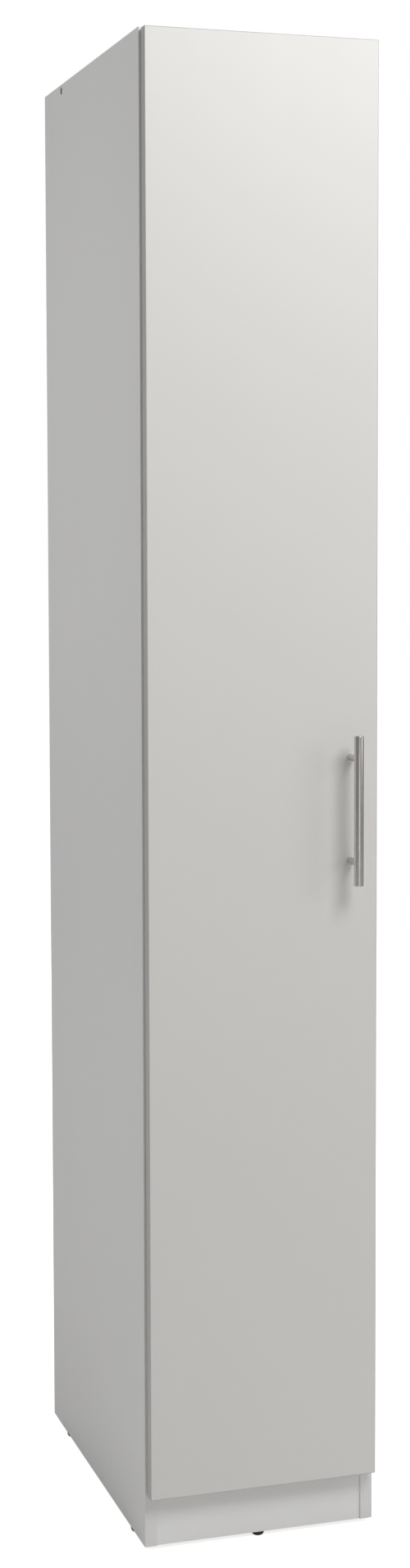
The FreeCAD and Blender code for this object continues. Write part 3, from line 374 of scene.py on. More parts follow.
BRUSHED = (2600.0, 2600.0, 35.0)      # lines that run along the handle's bar
MATERIALS = {
    "band_white": band_material("band_white", (0.87, 0.862, 0.848), 0.34, grain=1600.0),
    # The door's bands: partly their own grey, and darker as painted shade for the shadow in the gap and
    # on the door's edge beside the side panel.
    "band_grey_painted_shade": band_material("band_grey_painted_shade", (0.49, 0.485, 0.48), 0.3, grain=1600.0),
    "hardboard_white": hardboard_material(),
    "beech": beech_material(),
    "steel_handle": metal_material(
        "steel_handle", (0.70, 0.68, 0.655), 0.30, BRUSHED, cloud=0.3, streak=0.5, depth=0.04,
    ),
    "steel_zinc": metal_material("steel_zinc", (0.60, 0.61, 0.62), 0.34, (1500.0,) * 3, cloud=0.6),
    "zinc_cast": metal_material(
        "zinc_cast", (0.47, 0.47, 0.47), 0.42, (2200.0,) * 3, cloud=0.5, streak=0.0,
    ),
    "nickel": metal_material("nickel", (0.66, 0.645, 0.61), 0.22, (900.0,) * 3, cloud=0.6),
    "glide_black": glide_material(),
    "bumper_clear": bumper_material(),
}

for part in frame["record"]["subparts"]:
    kind = part["material_slot"]
    finish = board_material(part["node"]) if kind == "board_white" else MATERIALS[kind]
    for slot in frame["nodes"][part["node"]].material_slots:
        slot.material = finish


# ---------------------------------------------------------------- surfaces

# For each way, the directions that a piece's own X, Y and Z get when its own Z points that way.
WAYS = {
    "x": ((0, 1, 0), (0, 0, 1), (1, 0, 0)),
    "-x": ((0, 0, 1), (0, 1, 0), (-1, 0, 0)),
    "y": ((0, 0, 1), (1, 0, 0), (0, 1, 0)),
    "-y": ((1, 0, 0), (0, 0, 1), (0, -1, 0)),
    "z": ((1, 0, 0), (0, 1, 0), (0, 0, 1)),
}
QUARTER = np.linspace(0, np.pi / 2, 6)     # the angles t of every eased edge
CREASE = math.radians(32)                  # sharper edges than this one aren't shaded smooth
POINT = 0.1                                # the radius at which a round end is closed by one face
LAP = 0.1                                  # how far a screw's shank reaches into its head


def put(shell, centre, way="z"):
    """Each point x, y, z of the shell goes to centre + x * X + y * Y + z * Z of the way."""
    return np.asarray(centre, dtype=float) + shell @ np.array(WAYS[way], dtype=float)


def around(sides):
    """The angles of a full turn, evenly spaced."""
    return np.linspace(0, 2 * np.pi, sides, endpoint=False)


def turned(radii, heights, sides=48):
    """The point at angle a of ring i is (r cos a, r sin a, h).

    The radius r and the height h are one number for each ring, or a row of them round the ring.
    """
    angles = around(sides)
    radii, heights = (np.asarray(values, dtype=float) for values in (radii, heights))
    radii = radii[:, None] if radii.ndim == 1 else radii
    heights = (heights[:, None] if heights.ndim == 1 else heights) + 0 * angles
    return np.stack([radii * np.cos(angles), radii * np.sin(angles), heights], axis=-1)


def eased_ends(low, high, ease):
    """How far the rings at two eased ends lie inwards, and their heights.

    For the ease e, a ring lies e(1 - sin t) inwards where it is e(1 - cos t) from its end.
    """
    inset, level = ease * (1 - np.sin(QUARTER)), ease * (1 - np.cos(QUARTER))
    return np.concatenate([inset, inset[::-1]]), np.concatenate([low + level, high - level[::-1]])


def eased_rod(radius, low, high, ease, sides=48):
    """A rod: its radius is R less the inset of its eased ends, and nearly nothing at its very ends."""
    insets, levels = eased_ends(low, high, ease)
    tip = [radius * 0.02]
    return turned(
        np.concatenate([tip, radius - insets, tip]), np.concatenate([[low], levels, [high]]), sides,
    )


def threaded_rod(radius, low, high, pitch, depth, sides=24):
    """A screw thread, pointed at its start, with eight rings to a turn.

    Its radius at angle a and height z is R - depth * (1 + cos(2 pi z / pitch - a)) / 2.
    """
    rings = max(8, int((high - low) / pitch * 8))
    heights = np.linspace(low, high, rings)
    turn = 2 * np.pi * heights[:, None] / pitch - around(sides)
    taper = np.clip((heights - low) / pitch, 0.25, 1)[:, None]
    return turned(taper * (radius - depth * (1 + np.cos(turn)) / 2), heights, sides)


def rounded(points, setback, steps=6):
    """Each corner P of a closed outline becomes the curve (1-t)^2 A + 2t(1-t) P + t^2 B.

    A and B lie the setback before and after the corner, on its two sides.
    """
    points = np.asarray(points, dtype=float)
    back, ahead = np.roll(points, 1, axis=0) - points, np.roll(points, -1, axis=0) - points
    reach = np.broadcast_to(setback, len(points))[:, None]
    start = points + reach * back / np.linalg.norm(back, axis=1)[:, None]
    end = points + reach * ahead / np.linalg.norm(ahead, axis=1)[:, None]
    a, p, b = start[:, None], points[:, None], end[:, None]
    t = np.linspace(0, 1, steps)[None, :, None]
    return ((1 - t) ** 2 * a + 2 * t * (1 - t) * p + t ** 2 * b).reshape(-1, 2)


def prism(outline, low, high, ease):
    """An outline carried from low to high.

    At the eased ends each ring is moved inwards along the outline's normals, by its inset.
    """
    tangents = np.roll(outline, -1, axis=0) - np.roll(outline, 1, axis=0)
    normals = np.stack([tangents[:, 1], -tangents[:, 0]], axis=-1)
    normals /= np.linalg.norm(normals, axis=1)[:, None]
    insets, levels = (values[:, None, None] for values in eased_ends(low, high, ease))
    flat = outline - insets * normals
    return np.concatenate([flat, np.broadcast_to(levels, flat.shape[:2] + (1,))], axis=-1)


def cross_edge(long, wide, sides=96):
    """From the middle to a cross's edge at each angle: the smaller of (w/2)/sin b and (l/2)/cos b.

    The angle b is measured from the nearest of the cross's four arms.
    """
    off = abs((around(sides) + np.pi / 4) % (np.pi / 2) - np.pi / 4)
    return np.minimum(wide / 2 / np.maximum(np.sin(off), 1e-3), long / 2 / np.cos(off))


def hexagon_edge(across, sides=96):
    """From the middle to a hexagon's edge at each angle: (across/2)/cos b, b from the nearest flat."""
    return across / 2 / np.cos((around(sides) + np.pi / 6) % (np.pi / 3) - np.pi / 6)


def recessed_face(radius, level, dome, edge, deep):
    """The rings of a face with a recess, from its rim inwards, as radii and heights.

    The radii go evenly from just inside R to the recess's edge, at heights of
    level + dome * (1 - (r/R)^2). Inside the edge they shrink to nothing, at the recess's depth.
    """
    share = np.linspace(0.03, 1, 6)[:, None]
    radii = (1 - share) * radius + share * edge
    heights = level + dome * (1 - (radii / radius) ** 2)
    inner = np.array([[0.96], [0.8], [0.5], [0.01]]) * edge
    floor = level + dome - deep * np.array([[0.15], [0.9], [1.0], [1.0]])
    return np.concatenate([radii, inner]), np.concatenate([heights, floor + 0 * edge])


def screw_head(radius, thick, dome, edge, deep, under=None):
    """A screw's head from its underside at height 0 to its face, which has a recess.

    Its side flares from the underside to the full radius over the collar's height. The collar is
    short, unless a narrower underside is given, for a countersunk head.
    """
    collar = 0.1 if under is None else thick * 0.85
    under = under or radius * 0.97
    lower = turned([POINT, under, radius, radius], [0, 0, collar, thick * 0.93], 96)
    return np.concatenate([lower, turned(*recessed_face(radius, thick, dome, edge, deep), 96)])


def cross_screw(spot, way, head, cross, thread):
    """A screw with a cross recess: its head points along a way, and its thread the other way.

    The head is given by its radius, thickness and dome, the recess by its length, breadth and
    depth, and the thread by its radius, length, pitch and depth.
    """
    long, wide, deep = cross
    radius, length, pitch, groove = thread
    return [
        put(screw_head(*head, cross_edge(long, wide), deep), spot, way),
        put(threaded_rod(radius, -length, LAP, pitch, groove), spot, way),
    ]


def shell_faces(rows, columns, start, looped):
    """Quads between neighbouring rings.

    A looped shell's last ring meets its first. Any other shell gets one face over each end ring.
    """
    here = np.arange(columns)
    after = np.roll(here, -1)
    ring = start + columns * np.arange(rows)[:, None]
    above = np.roll(ring, -1, axis=0)
    quads = np.stack([ring + here, ring + after, above + after, above + here], axis=-1)
    if looped:
        return quads.reshape(-1, 4).tolist()
    ends = [(start + here[::-1]).tolist(), (start + (rows - 1) * columns + here).tolist()]
    return quads[:-1].reshape(-1, 4).tolist() + ends


def piece(name, body, slot, shells, *replaced, finish=None):
    """One object of closed shells, each an array of rings of points in millimetres.

    A shell whose last ring is its first again closes on itself. The finish is the one named for
    the slot, unless another is given.
    """
    faces, rings = [], []
    for shell in shells:
        looped = np.array_equal(shell[0], shell[-1])
        shell = shell[:-1] if looped else shell
        faces += shell_faces(*shell.shape[:2], sum(map(len, rings)), looped)
        rings.append(shell.reshape(-1, 3))
    points = np.concatenate(rings) * MM
    mesh = bpy.data.meshes.new(name)
    mesh.from_pydata(points.tolist(), [], faces)
    mesh.polygons.foreach_set("use_smooth", np.ones(len(faces), dtype=bool))
    mesh.set_sharp_from_angle(angle=CREASE)
    mesh.materials.append(MATERIALS[finish or slot])
    made = bpy.data.objects.new(name, mesh)
    bpy.context.scene.collection.objects.link(made)
    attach(made, body)
    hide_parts(*replaced)


# ---------------------------------------------------------------- edge bands

def band(low, high, axis, sign):
    """A band whose open face looks along an axis: its section is carried along its length.

    The section is a strip with its two outer edges rounded.
    """
    size = high - low
    along = int(np.argmax(size))
    across = 3 - axis - along
    thick, half = size[axis], size[across] / 2
    setback = thick * np.array([0.15, 0.8, 0.8, 0.15])
    section = rounded([(0, -half), (thick, -half), (thick, half), (0, half)], setback)
    rows = prism(section, -size[along] / 2, size[along] / 2, ease=0.05)
    shell = np.empty_like(rows)
    shell[..., axis] = (low[axis] if sign > 0 else high[axis]) + sign * rows[..., 0]
    shell[..., across] = (low + high)[across] / 2 + rows[..., 1]
    shell[..., along] = (low + high)[along] / 2 + rows[..., 2]
    # Where these axes mirror the section, its points are taken the other way round.
    turn = np.zeros((3, 3))
    turn[[0, 1, 2], [axis, across, along]] = sign, 1, 1
    return shell if np.linalg.det(turn) > 0 else shell[:, ::-1]


def edge_bands():
    """The bands of the door, the side panels and the horizontal boards. The door's are grey: partly their
    own colour, partly painted shade.
    """
    for node, body, axis, sign in (
        ("door_band_left", "door", 0, -1), ("door_band_right", "door", 0, 1),
        ("door_band_bottom", "door", 2, -1), ("door_band_top", "door", 2, 1),
        ("side_band_left", "carcass", 1, -1), ("side_band_right", "carcass", 1, -1),
    ):
        # The door's grey bands are partly painted shade.
        finish = "band_grey_painted_shade" if body == "door" else "band_white"
        strip = band(*corners(node), axis, sign)
        piece(f"{node}_strip", body, "band_white", [strip], node, finish=finish)
    low, high = corners("cross_panel_bands")
    strips = [
        band(np.array([low[0], low[1], level]), np.array([high[0], high[1], level + BOARD]), 1, -1)
        for level in UNDERSIDES.values()
    ]
    piece("cross_panel_strips", "carcass", "band_white", strips, "cross_panel_bands")


# ---------------------------------------------------------------- joints between the boards

FIT_FRONT, FIT_REAR = FRONT + 60, REAR - 94      # the rows of fittings in the horizontal boards
FIT_MIDDLE = (FIT_FRONT + FIT_REAR) / 2
CAM_IN, CAM_SUNK = 24, 0.1                       # from a board's end and face to its cam
CAM_RADIUS, CAM_TALL = 7.5, 12.5
DOWEL_EDGE = 17                                  # from an upright board's long edges to its dowels
DOWEL_LONG, DOWEL_IN_SIDE = 29, 11               # a dowel, and its part in the side panel


def fittings():
    """Each cam's board, row and side. The top panel has a front row only."""
    rows = [("top_panel", FIT_FRONT)]
    rows += [(name, row) for name in ("fixed_shelf", "base_panel") for row in (FIT_FRONT, FIT_REAR)]
    return [(name, row, side) for name, row in rows for side in (-1, 1)]


def cam_drum(side):
    """A cam drum with a rim, a cross recess and a mouth towards the bolt.

    Its wall is r(a, z) = R - d m(a, z), where d is the mouth's depth and m is 1 in the mouth's
    window of angle and height.
    """
    sides, face_radius, face_down = 96, 6.4, 0.35
    mouth_deep, mouth_half_angle, mouth_half_tall, bolt_down = 4.0, 0.55, 4.1, 8
    levels = np.linspace(0.4, CAM_TALL - 0.3, 26)
    toward = 0 if side > 0 else np.pi
    off = abs((around(sides) - toward + np.pi) % (2 * np.pi) - np.pi)
    away = abs(levels[:, None] - CAM_TALL + bolt_down)
    in_angle = np.clip((mouth_half_angle - off) / 0.12, 0, 1)
    in_height = np.clip((mouth_half_tall - away) / 0.5, 0, 1)
    foot = turned([POINT, CAM_RADIUS - 0.4], [0, 0], sides)
    wall = turned(CAM_RADIUS - mouth_deep * in_angle * in_height, levels, sides)
    rim = turned([CAM_RADIUS - 0.3, 6.6], [CAM_TALL, CAM_TALL], sides)
    cross = cross_edge(6.4, 1.3, sides)
    face = turned(*recessed_face(face_radius, CAM_TALL - face_down, 0, cross, deep=2.0), sides)
    return np.concatenate([foot, wall, rim, face])


def cam_bolt():
    """A thread for the side panel, a smooth neck, and a head for the cam."""
    thread = threaded_rod(2.5, -11, 0, pitch=1.6, depth=0.5)
    neck = eased_rod(2.0, 0, 22.9, ease=0.1, sides=24)
    head = eased_rod(3.5, 22.7, 25.3, ease=0.5, sides=32)
    return thread, neck, head


def cams():
    """The cam locks and their bolts. The top panel's cams face up, and the others face down."""
    locks, bolts = [], []
    for name, row, side in fittings():
        end, way = (INNER_LEFT, "x") if side < 0 else (INNER_RIGHT, "-x")
        underside, x = UNDERSIDES[name], end - side * CAM_IN
        if name == "top_panel":
            foot = underside + BOARD - CAM_TALL - CAM_SUNK
            locks.append(put(cam_drum(side), (x, row, foot)))
        else:
            foot = underside + CAM_TALL + CAM_SUNK
            locks.append(put(cam_drum(side) * (1, -1, -1), (x, row, foot)))
        centre = (end, row, underside + BOARD / 2)
        bolts += [put(shell, centre, way) for shell in cam_bolt()]
    piece("cams", "carcass", "zinc_cast", locks, "cam_locks")
    piece("cam_pins", "carcass", "steel_zinc", bolts, "cam_bolts")


def fluted_dowel(length):
    """A dowel with pressed flutes: r(a) = R - f * (1 + cos 12a) / 2, its ends chamfered."""
    radius, flute, chamfer, sides = 4.0, 0.3, 1.2, 72
    share = np.array([0.02, 0.8, 1, 1, 0.8, 0.02])
    heights = np.array([0, 0, chamfer, length - chamfer, length, length])
    radii = share[:, None] * (radius - flute * (1 + np.cos(12 * around(sides))) / 2)
    return turned(radii, heights, sides)


def dowels():
    """One dowel at each end of the horizontal boards, and two at each end of the upright ones."""
    spots = [(FIT_MIDDLE, underside + BOARD / 2) for underside in UNDERSIDES.values()]
    for name in ("kickboard", "wall_rail"):
        low, high = corners(name)
        row = (low + high)[1] / 2
        spots += [(row, low[2] + DOWEL_EDGE), (row, high[2] - DOWEL_EDGE)]
    ends = ((INNER_LEFT - DOWEL_IN_SIDE, "x"), (INNER_RIGHT + DOWEL_IN_SIDE, "-x"))
    shells = [put(fluted_dowel(DOWEL_LONG), (x, row, z), way) for row, z in spots for x, way in ends]
    piece("fluted_dowels", "carcass", "beech", shells, "dowels")


def through_screws():
    """Furniture screws with a flat countersunk head and a hexagon socket, sunk in the side panels."""
    sunk, level = 4, UNDERSIDES["top_panel"] + BOARD / 2
    head = screw_head(5.0, thick=3.0, dome=0.0, edge=hexagon_edge(4.0), deep=2.0, under=3.2)
    shank = eased_rod(3.0, -12, LAP, ease=0.1, sides=32)
    thread = threaded_rod(2.3, -47, -12, pitch=3.0, depth=0.6)
    shells = [
        put(shell, (x, FIT_REAR, level), way)
        for x, way in ((LEFT + sunk, "-x"), (RIGHT - sunk, "x"))
        for shell in (head, shank, thread)
    ]
    piece("side_screws", "carcass", "steel_zinc", shells, "through_screws")


# ---------------------------------------------------------------- glides

GLIDE_ROWS = (FRONT + 65, REAR - 77)             # Y of the glides under the side panels


def glides():
    """Domed glides, and the nails in them.

    Between sole and rim the radius is s + (R - s) sin t, at a height of h(1 - cos t).
    """
    low, high = corners("glides")
    radius, sole, rim, tall = 8.0, 4.5, 1.5, high[2] - low[2]
    nail_low, nail_high = tall - 2.8, corners("glide_nails")[1][2]
    kick_low, kick_high = corners("kickboard")
    spots = [(x, y, 0) for x in (LEFT + BOARD / 2, RIGHT - BOARD / 2) for y in GLIDE_ROWS]
    spots.append(((LEFT + RIGHT) / 2, (kick_low + kick_high)[1] / 2, 0))
    curve = sole + (radius - sole) * np.sin(QUARTER)
    climb = (tall - rim) * (1 - np.cos(QUARTER)) + 0.01
    dome = turned(
        np.concatenate([[POINT], curve, [radius, radius - 0.2, POINT]]),
        np.concatenate([[0], climb, [tall - 0.3, tall, tall]]), 48,
    )
    nail = turned([POINT, 1.0, 1.0, POINT], [nail_low, nail_low, nail_high - 2, nail_high], 16)
    piece("glide_domes", "carcass", "glide_black", [put(dome, spot) for spot in spots], "glides")
    piece("glide_pins", "carcass", "steel_zinc", [put(nail, spot) for spot in spots], "glide_nails")


# ---------------------------------------------------------------- handle and bumpers

def handle():
    """The round bar, its two posts, and their screws behind the door.

    A post is a straight rod. At its foot the radius grows by c(1 - sin t), at a height of
    2c(1 - cos t), for a collar c.
    """
    low, high = corners("handle_bar")
    x, y, radius = (low + high)[0] / 2, (low + high)[1] / 2, (high - low)[0] / 2
    bar = eased_rod(radius - 0.01, low[2], high[2], ease=0.8, sides=80)
    piece("bar", "door", "steel_handle", [put(bar, (x, y, 0))], "handle_bar")

    low, high = corners("handle_posts")
    radius, length, collar = (high - low)[0] / 2, DOOR_FACE - y, 0.15
    levels = (low[2] + radius, high[2] - radius)
    foot = radius + collar * (1 - np.sin(QUARTER))
    climb = 2 * collar * (1 - np.cos(QUARTER)) + 0.01
    post = turned(
        np.concatenate([[POINT], foot, [radius, radius, POINT]]),
        np.concatenate([[0], climb, [1.0, length, length]]), 64,
    )
    posts = [put(post, (x, DOOR_FACE, z), "-y") for z in levels]
    piece("posts", "door", "steel_handle", posts, "handle_posts")

    shells = []
    for z in levels:
        shells += cross_screw(
            (x, DOOR_BACK, z), "y",
            head=(4.0, 1.4, 0.8), cross=(4.6, 0.9, 1.3), thread=(2.0, 25, 0.7, 0.2),
        )
    piece("handle_bolts", "door", "steel_zinc", shells, "handle_screws")


def bumpers():
    """Clear domes: the radius is R (cos t)^0.7 at a height of h sin t, over a short straight rim."""
    rim = 0.3
    low, high = corners("door_bumpers")
    x, radius, tall = (low + high)[0] / 2, (high - low)[0] / 2, (high - low)[1]
    t = np.linspace(0, 0.98 * np.pi / 2, 9)
    dome = turned(
        np.concatenate([[POINT], radius * np.cos(t) ** 0.7]),
        np.concatenate([[0], rim + (tall - rim) * np.sin(t)]), 40,
    )
    shells = [put(dome, (x, low[1], z), "y") for z in (low[2] + radius, high[2] - radius)]
    piece("bumper_domes", "door", "bumper_clear", shells, "door_bumpers")


# ---------------------------------------------------------------- cup hinges

# In a hinge's own frame X is measured inwards from the side panel's outer face, Y back from the
# carcass's front edge and Z up from the hinge's middle.
CUP_AXIS, CUP_MOUTH = 25.0, -2.0                       # X of the cup's axis, Y of its mouth
CUP_DEEP, CUP_RADIUS = 11.5, 17.5
LONG_TIP, SHORT_TIP = (12.3, -5.0), (14.2, -7.4)       # X and Y of the pins in the cup
LONG_ROOT, SHORT_ROOT = (37.0, 12.9), (30.7, -2.7)     # X and Y of the pins in the arm
LONG_BEND, SHORT_BEND = (3.8, 9.5), (6.6, 9.0)         # a link's elbow, from its tip: along, aside
PIN = 1.0
EYE, OPEN_EYE = (2.3, 1.05), (2.9, 1.9)                # radius and bore; the open eye has play
ARM_HALF, ARM_SHEET = 8.6, 1.2                         # half the arm's height, and its sheet
ARM_CREST, ARM_LOW = 40.9, 18.5                        # X of the arm's highest and lowest parts
ARM_END = 66                                           # Y of the arm's rear end
SEAT = 25.2                                            # X of the arm's face over its plate
PLATE_ROW, PLATE_HALF_PITCH = 37.0, 16.0               # Y and Z of the plate's screws
CUP_SCREW_ROW, CUP_SCREW_HALF_PITCH = 31.0, 24.0       # X and Z of the cup's screws
ARM_SCREW_ROWS = (34.0, 54.0)                          # Y of the arm's screws


def hinge_origin(count):
    """Where the frame of one hinge starts, in the cupboard's."""
    low, high = corners(f"hinge_cup_{count}")
    return np.array([LEFT, FRONT, (low + high)[2] / 2])


def strap(start, elbow, end, bar, clear, samples=30):
    """The outline of a cranked bar of even breadth, between two eyes.

    Its middle line is the curve (1-t)^2 A + 2t(1-t) B + t^2 C, from where it is farther than the
    first clear distance from A to where it comes nearer than the second to C.
    """
    a, b, c = (np.asarray(point, dtype=float) for point in (start, elbow, end))
    fine = np.linspace(0, 1, 2001)[:, None]
    curve = (1 - fine) ** 2 * a + 2 * fine * (1 - fine) * b + fine ** 2 * c
    first = fine[np.linalg.norm(curve - a, axis=1) > clear[0]][0, 0]
    last = fine[np.linalg.norm(curve - c, axis=1) > clear[1]][-1, 0]
    t = np.linspace(first, last, samples)[:, None]
    line = (1 - t) ** 2 * a + 2 * t * (1 - t) * b + t ** 2 * c
    run = 2 * (1 - t) * (b - a) + 2 * t * (c - b)
    run /= np.linalg.norm(run, axis=1)[:, None]
    side = np.stack([run[:, 1], -run[:, 0]], axis=-1) * bar / 2
    return np.concatenate([line + side, (line - side)[::-1]])


def eye_ring(radius, bore, low, high, ease, sides=40):
    """An eye: up its eased outside, then down its bore, which has a small chamfer at each mouth.

    Outside, the radius is R less the inset of the eased ends. The last ring is the first again, so
    that the shell closes round the bore.
    """
    chamfer = 0.12
    insets, levels = eased_ends(low, high, ease)
    mouth = bore + chamfer
    radii = np.concatenate([radius - insets, [mouth, bore, bore, mouth, radius - ease]])
    heights = np.concatenate([levels, [high, high - chamfer, low + chamfer, low, low]])
    return turned(radii, heights, sides)


def link_shells(tip, root, bend, bar, eyes, low, high, ease):
    """A cranked link: a bar between two bored eyes, each given by its radius and its bore.

    The bar's ends lie within the eyes' walls, and its faces just below the eyes' faces. The bend
    says where its elbow lies from the tip: how far along towards the root, and how far aside.
    """
    below = 0.05
    a, c = np.array(tip), np.array(root)
    run = (c - a) / np.linalg.norm(c - a)
    elbow = a + run * bend[0] + np.array([run[1], -run[0]]) * bend[1]
    clear = [bore + 0.35 * (radius - bore) for radius, bore in eyes]
    shells = [put(eye_ring(*eye, low, high, ease), (*spot, 0)) for spot, eye in zip((tip, root), eyes)]
    shells.append(prism(strap(tip, elbow, root, bar, clear), low + below, high - below, ease))
    return shells


def cup_shell():
    """A pressed cup and its flange in one sheet, 1 mm thick.

    A ring's radius is constant on the cup. On the flange it is the distance from the cup's axis to
    the flange's outline at each angle. Each bend is a quarter turn of t: its radius e adds
    e(1 - sin t) one way and e(1 - cos t) the other.
    """
    sides, sheet, outer_bend, inner_bend = 96, 1, 2, 1.2
    tab_end, tab_half, near, waist, least = 31.0, 7.0, 10.0, 14.0, 19.0
    tab = CUP_SCREW_ROW - CUP_AXIS
    outline = [
        (-tab_end, tab - tab_half), (-waist, -near), (waist, -near),
        (tab_end, tab - tab_half), (tab_end, tab + tab_half), (-tab_end, tab + tab_half),
    ]
    edge = rounded(outline, [4.5, 5, 5, 4.5, 4.5, 4.5], 10)
    way, reach = np.arctan2(edge[:, 1], edge[:, 0]), np.linalg.norm(edge, axis=1)
    order = np.argsort(way)
    reach = np.interp(around(sides), way[order], reach[order], period=2 * np.pi)
    flange = np.maximum(reach, least)

    floor, inner = -CUP_DEEP, CUP_RADIUS - sheet
    bends = [(1 - math.sin(t), 1 - math.cos(t)) for t in QUARTER]
    rows = [(POINT, floor)]
    rows += [(CUP_RADIUS - outer_bend * s, floor + outer_bend * c) for s, c in bends]
    rows += [
        (CUP_RADIUS, 0.0), (flange - 0.15, 0.0), (flange, 0.2), (flange, 0.7), (flange - 0.3, sheet),
    ]
    rows += [(inner + inner_bend * s, sheet - inner_bend * c) for s, c in bends]
    rows += [(inner - inner_bend * c, floor + sheet + inner_bend * s) for s, c in bends]
    rows.append((POINT, floor + sheet))
    radii = np.array([np.broadcast_to(radius, sides) for radius, _ in rows])
    return turned(radii, [height for _, height in rows], sides)


def cup_ears():
    """The two ears that carry the cup's pins: one outline carried up by the sheet's thickness."""
    outline = rounded([(10.0, -12.5), (16.5, -12.5), (16.5, -4.0), (10.0, -2.7)], [0.6, 0.6, 2.5, 2.5])
    return [prism(outline, low, low + 1, ease=0.15) for low in (4.3, -5.3)]


def arm_shells():
    """The arm: two side walls and the web between them, each an outline carried along Z."""
    under = SEAT - ARM_SHEET
    wall = rounded([
        (ARM_CREST - 0.1, 8.9), (ARM_CREST - 0.1, 16.9), (SEAT - 0.1, 30), (SEAT - 0.1, ARM_END),
        (ARM_LOW, ARM_END), (ARM_LOW, 14.4), (SHORT_ROOT[0] - 2.6, -5.3), (SHORT_ROOT[0] + 2.6, -5.3),
    ], [2.8, 5.0, 5.0, 1.0, 1.0, 4.0, 2.5, 2.5], 8)
    web = rounded([
        (ARM_CREST - ARM_SHEET, 8.0), (ARM_CREST, 8.9), (ARM_CREST, 16.9), (SEAT, 30), (SEAT, ARM_END),
        (under, ARM_END), (under, 29.4), (ARM_CREST - ARM_SHEET, 16.3),
    ], [0.5, 0.5, 5.0, 5.0, 0.5, 0.5, 5.0, 5.0], 8)
    walls = [
        prism(wall, low + 0.05, low + ARM_SHEET - 0.05, ease=0.2)
        for low in (-ARM_HALF, ARM_HALF - ARM_SHEET)
    ]
    return walls + [prism(web, -ARM_HALF, ARM_HALF, ease=0.3)]


def plate_shells():
    """The mounting plate: a winged foot, and the ridge that the arm sits on."""
    wings = rounded([(-6, -23), (6, -23), (6, 23), (-6, 23)], 4.0, 8)
    ridge = rounded([(-11, -7.1), (25, -7.1), (25, 7.1), (-11, 7.1)], 1.0)
    solids = (prism(wings, 0, 2, ease=0.5), prism(ridge, 0, SEAT - ARM_SHEET - BOARD, ease=0.5))
    return [put(solid, (BOARD, PLATE_ROW, 0), "x") for solid in solids]


def pin_shells(*spans):
    """Round pins, each given by its place and its lower and upper end."""
    return [
        put(eased_rod(PIN, low, high, ease=0.3, sides=24), (*spot, 0)) for spot, low, high in spans
    ]


def hinge_screws():
    """The screws of one hinge, by the node that they stand for."""
    small = {"head": (3.5, 1.0, 0.6), "cross": (4.2, 0.9, 1.1)}
    large = {"head": (4.5, 1.7, 0.8), "cross": (5.2, 1.1, 1.5)}
    plate, cup, arm = [], [], []
    for sign in (-1, 1):
        spot = (BOARD + 2, PLATE_ROW, sign * PLATE_HALF_PITCH)
        plate += cross_screw(spot, "x", **large, thread=(3.0, 12, 1.8, 0.5))
        spot = (CUP_SCREW_ROW, CUP_MOUTH + 1, sign * CUP_SCREW_HALF_PITCH)
        cup += cross_screw(spot, "y", **small, thread=(1.75, 13, 1.4, 0.4))
    for row in ARM_SCREW_ROWS:
        arm += cross_screw((SEAT, row, 0), "x", **small, thread=(2.0, 6.7, 0.8, 0.25))
    return {"hinge_plate_screws": plate, "hinge_cup_screws": cup, "hinge_arm_screws": arm}


def hinge_shells():
    """Every shell of one hinge in its own frame, by the node that it stands for."""
    short_link = []
    for low, high in ((5.6, 7.1), (-7.1, -5.6)):
        short_link += link_shells(
            SHORT_TIP, SHORT_ROOT, SHORT_BEND, bar=2.4, eyes=(OPEN_EYE, EYE),
            low=low, high=high, ease=0.3,
        )
    long_link = link_shells(
        LONG_TIP, LONG_ROOT, LONG_BEND, bar=3.0, eyes=(EYE, EYE), low=-4, high=4, ease=0.4,
    )
    return {
        "hinge_cup": [put(cup_shell(), (CUP_AXIS, CUP_MOUTH, 0), "y")] + cup_ears(),
        "hinge_arm": arm_shells(),
        "hinge_plate": plate_shells(),
        "hinge_long_link": long_link,
        "hinge_short_link": short_link,
        "hinge_cup_pins": pin_shells(
            (LONG_TIP, -5.5, 5.5), (SHORT_TIP, 4.3, 7.4), (SHORT_TIP, -7.4, -4.3),
        ),
        "hinge_arm_pins": pin_shells(
            (LONG_ROOT, -8.6, 8.6), (SHORT_ROOT, 5.3, 8.6), (SHORT_ROOT, -8.6, -5.3),
        ),
        **hinge_screws(),
    }


def hinges():
    """Three hinges: each pressed or cast part is a piece of its own, and pins and screws are sets."""
    shells = hinge_shells()
    places = [hinge_origin(count) for count in (1, 2, 3)]
    for node, body, slot in (
        ("hinge_cup", "door", "nickel"),
        ("hinge_arm", "carcass", "nickel"),
        ("hinge_plate", "carcass", "zinc_cast"),
        ("hinge_long_link", "long_links", "steel_zinc"),
        ("hinge_short_link", "short_links", "steel_zinc"),
    ):
        for count, place in enumerate(places, start=1):
            moved = [shell + place for shell in shells[node]]
            piece(f"{node}_{count}_pressed", body, slot, moved, f"{node}_{count}")
    for node, body in (
        ("hinge_cup_pins", "door"), ("hinge_arm_pins", "carcass"), ("hinge_plate_screws", "carcass"),
        ("hinge_cup_screws", "door"), ("hinge_arm_screws", "carcass"),
    ):
        moved = [shell + place for place in places for shell in shells[node]]
        piece(f"{node}_round", body, "steel_zinc", moved, node)


edge_bands()
cams()
dowels()
through_screws()
glides()
handle()
bumpers()
hinges()


# ---------------------------------------------------------------- studio

def area_light(name, place, aim, size, power, in_gloss=True, in_coat=True):
    """A soft rectangular light at a place, turned towards its aim.

    It may be kept out of what glossy surfaces mirror, or out of what lights the matt coats.
    """
    light = bpy.data.lights.new(name, "AREA")
    light.shape = "RECTANGLE"
    light.size, light.size_y = size
    light.energy = power
    holder = bpy.data.objects.new(name, light)
    bpy.context.scene.collection.objects.link(holder)
    holder.location = place
    x, y, z = np.array(aim) - np.array(place)
    holder.rotation_euler = (math.atan2(math.hypot(x, y), -z), 0, math.atan2(-x, y))
    holder.visible_glossy = in_gloss
    holder.visible_diffuse = in_coat


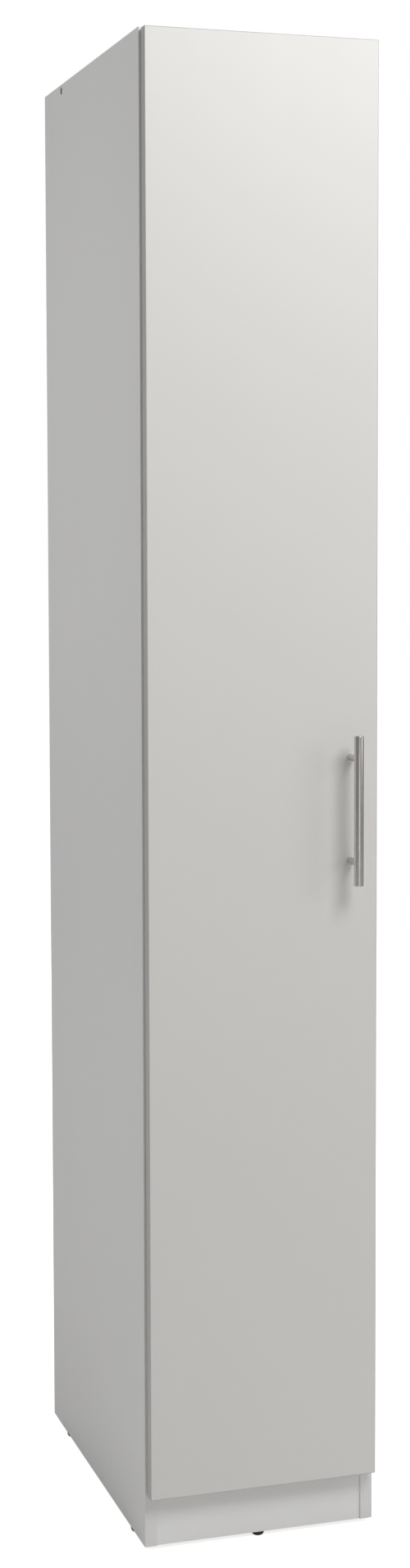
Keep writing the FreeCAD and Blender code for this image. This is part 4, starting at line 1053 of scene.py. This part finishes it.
def surround(seen, ambient):
    """White to the camera, and a dimmer even light on the cupboard."""
    world = bpy.data.worlds.new("studio")
    bpy.context.scene.world = world
    world.use_nodes = True
    net = Net(world.node_tree)
    background = world.node_tree.nodes["Background"].inputs
    background["Color"].default_value = (1, 1, 1, 1)
    to_camera = net.node("ShaderNodeLightPath").outputs["Is Camera Ray"]
    net.feed(background["Strength"], net.blend(to_camera, ambient, seen))


def pale_floor(size, glow):
    """A plain pale floor that runs into the white surround."""
    half = size / 2
    square = [(-half, -half, 0), (half, -half, 0), (half, half, 0), (-half, half, 0)]
    mesh = bpy.data.meshes.new("studio_floor")
    mesh.from_pydata(square, [], [(0, 1, 2, 3)])
    floor = bpy.data.objects.new("studio_floor", mesh)
    bpy.context.scene.collection.objects.link(floor)
    material, net, shader, _ = new_material("studio_floor")
    shader["Base Color"].default_value = (0.9, 0.9, 0.9, 1)
    shader["Roughness"].default_value = 0.9
    shader["Specular IOR Level"].default_value = 0.1
    shader["Emission Color"].default_value = (1, 1, 1, 1)
    to_camera = net.node("ShaderNodeLightPath").outputs["Is Camera Ray"]
    net.feed(shader["Emission Strength"], net.math("MULTIPLY", to_camera, glow))
    mesh.materials.append(material)


def camera(place, turn, lens, shift):
    """A camera at a place in metres, turned by angles in degrees."""
    data = bpy.data.cameras.new("camera")
    data.lens = lens
    data.shift_y = shift
    holder = bpy.data.objects.new("camera", data)
    bpy.context.scene.collection.objects.link(holder)
    holder.location = place
    holder.rotation_euler = np.radians(turn)
    bpy.context.scene.camera = holder


surround(seen=1.0, ambient=0.225)
pale_floor(size=40.0, glow=0.80)
area_light("key", place=(0.70, -1.9, 2.7), aim=(0.0, -0.25, 1.3), size=(1.1, 1.1), power=33.0)
area_light("right_fill", place=(2.2, -1.5, 1.7), aim=(0.0, -0.25, 1.2), size=(0.8, 1.4), power=9.0)
area_light(
    "side_fill", place=(-1.8, 0.1, 1.55), aim=(0.0, 0.05, 1.4), size=(1.0, 1.0), power=10.8,
    in_gloss=False,
)
area_light(
    "handle_card", place=(0.0, -3.2, 0.6), aim=(0.11, -0.25, 0.9), size=(0.8, 1.2), power=4.0,
    in_coat=False,
)
area_light("back_fill", place=(1.2, 3.4, 2.2), aim=(0.0, 0.25, 1.0), size=(2.0, 2.0), power=45)

# In front of the cupboard, to its left, at chest height
camera(place=(-0.9228, -2.9628, 1.2550), turn=(85.929, 0.155, -17.237), lens=54.51, shift=-0.0506)
bpy.context.scene.view_settings.view_transform = "Standard"
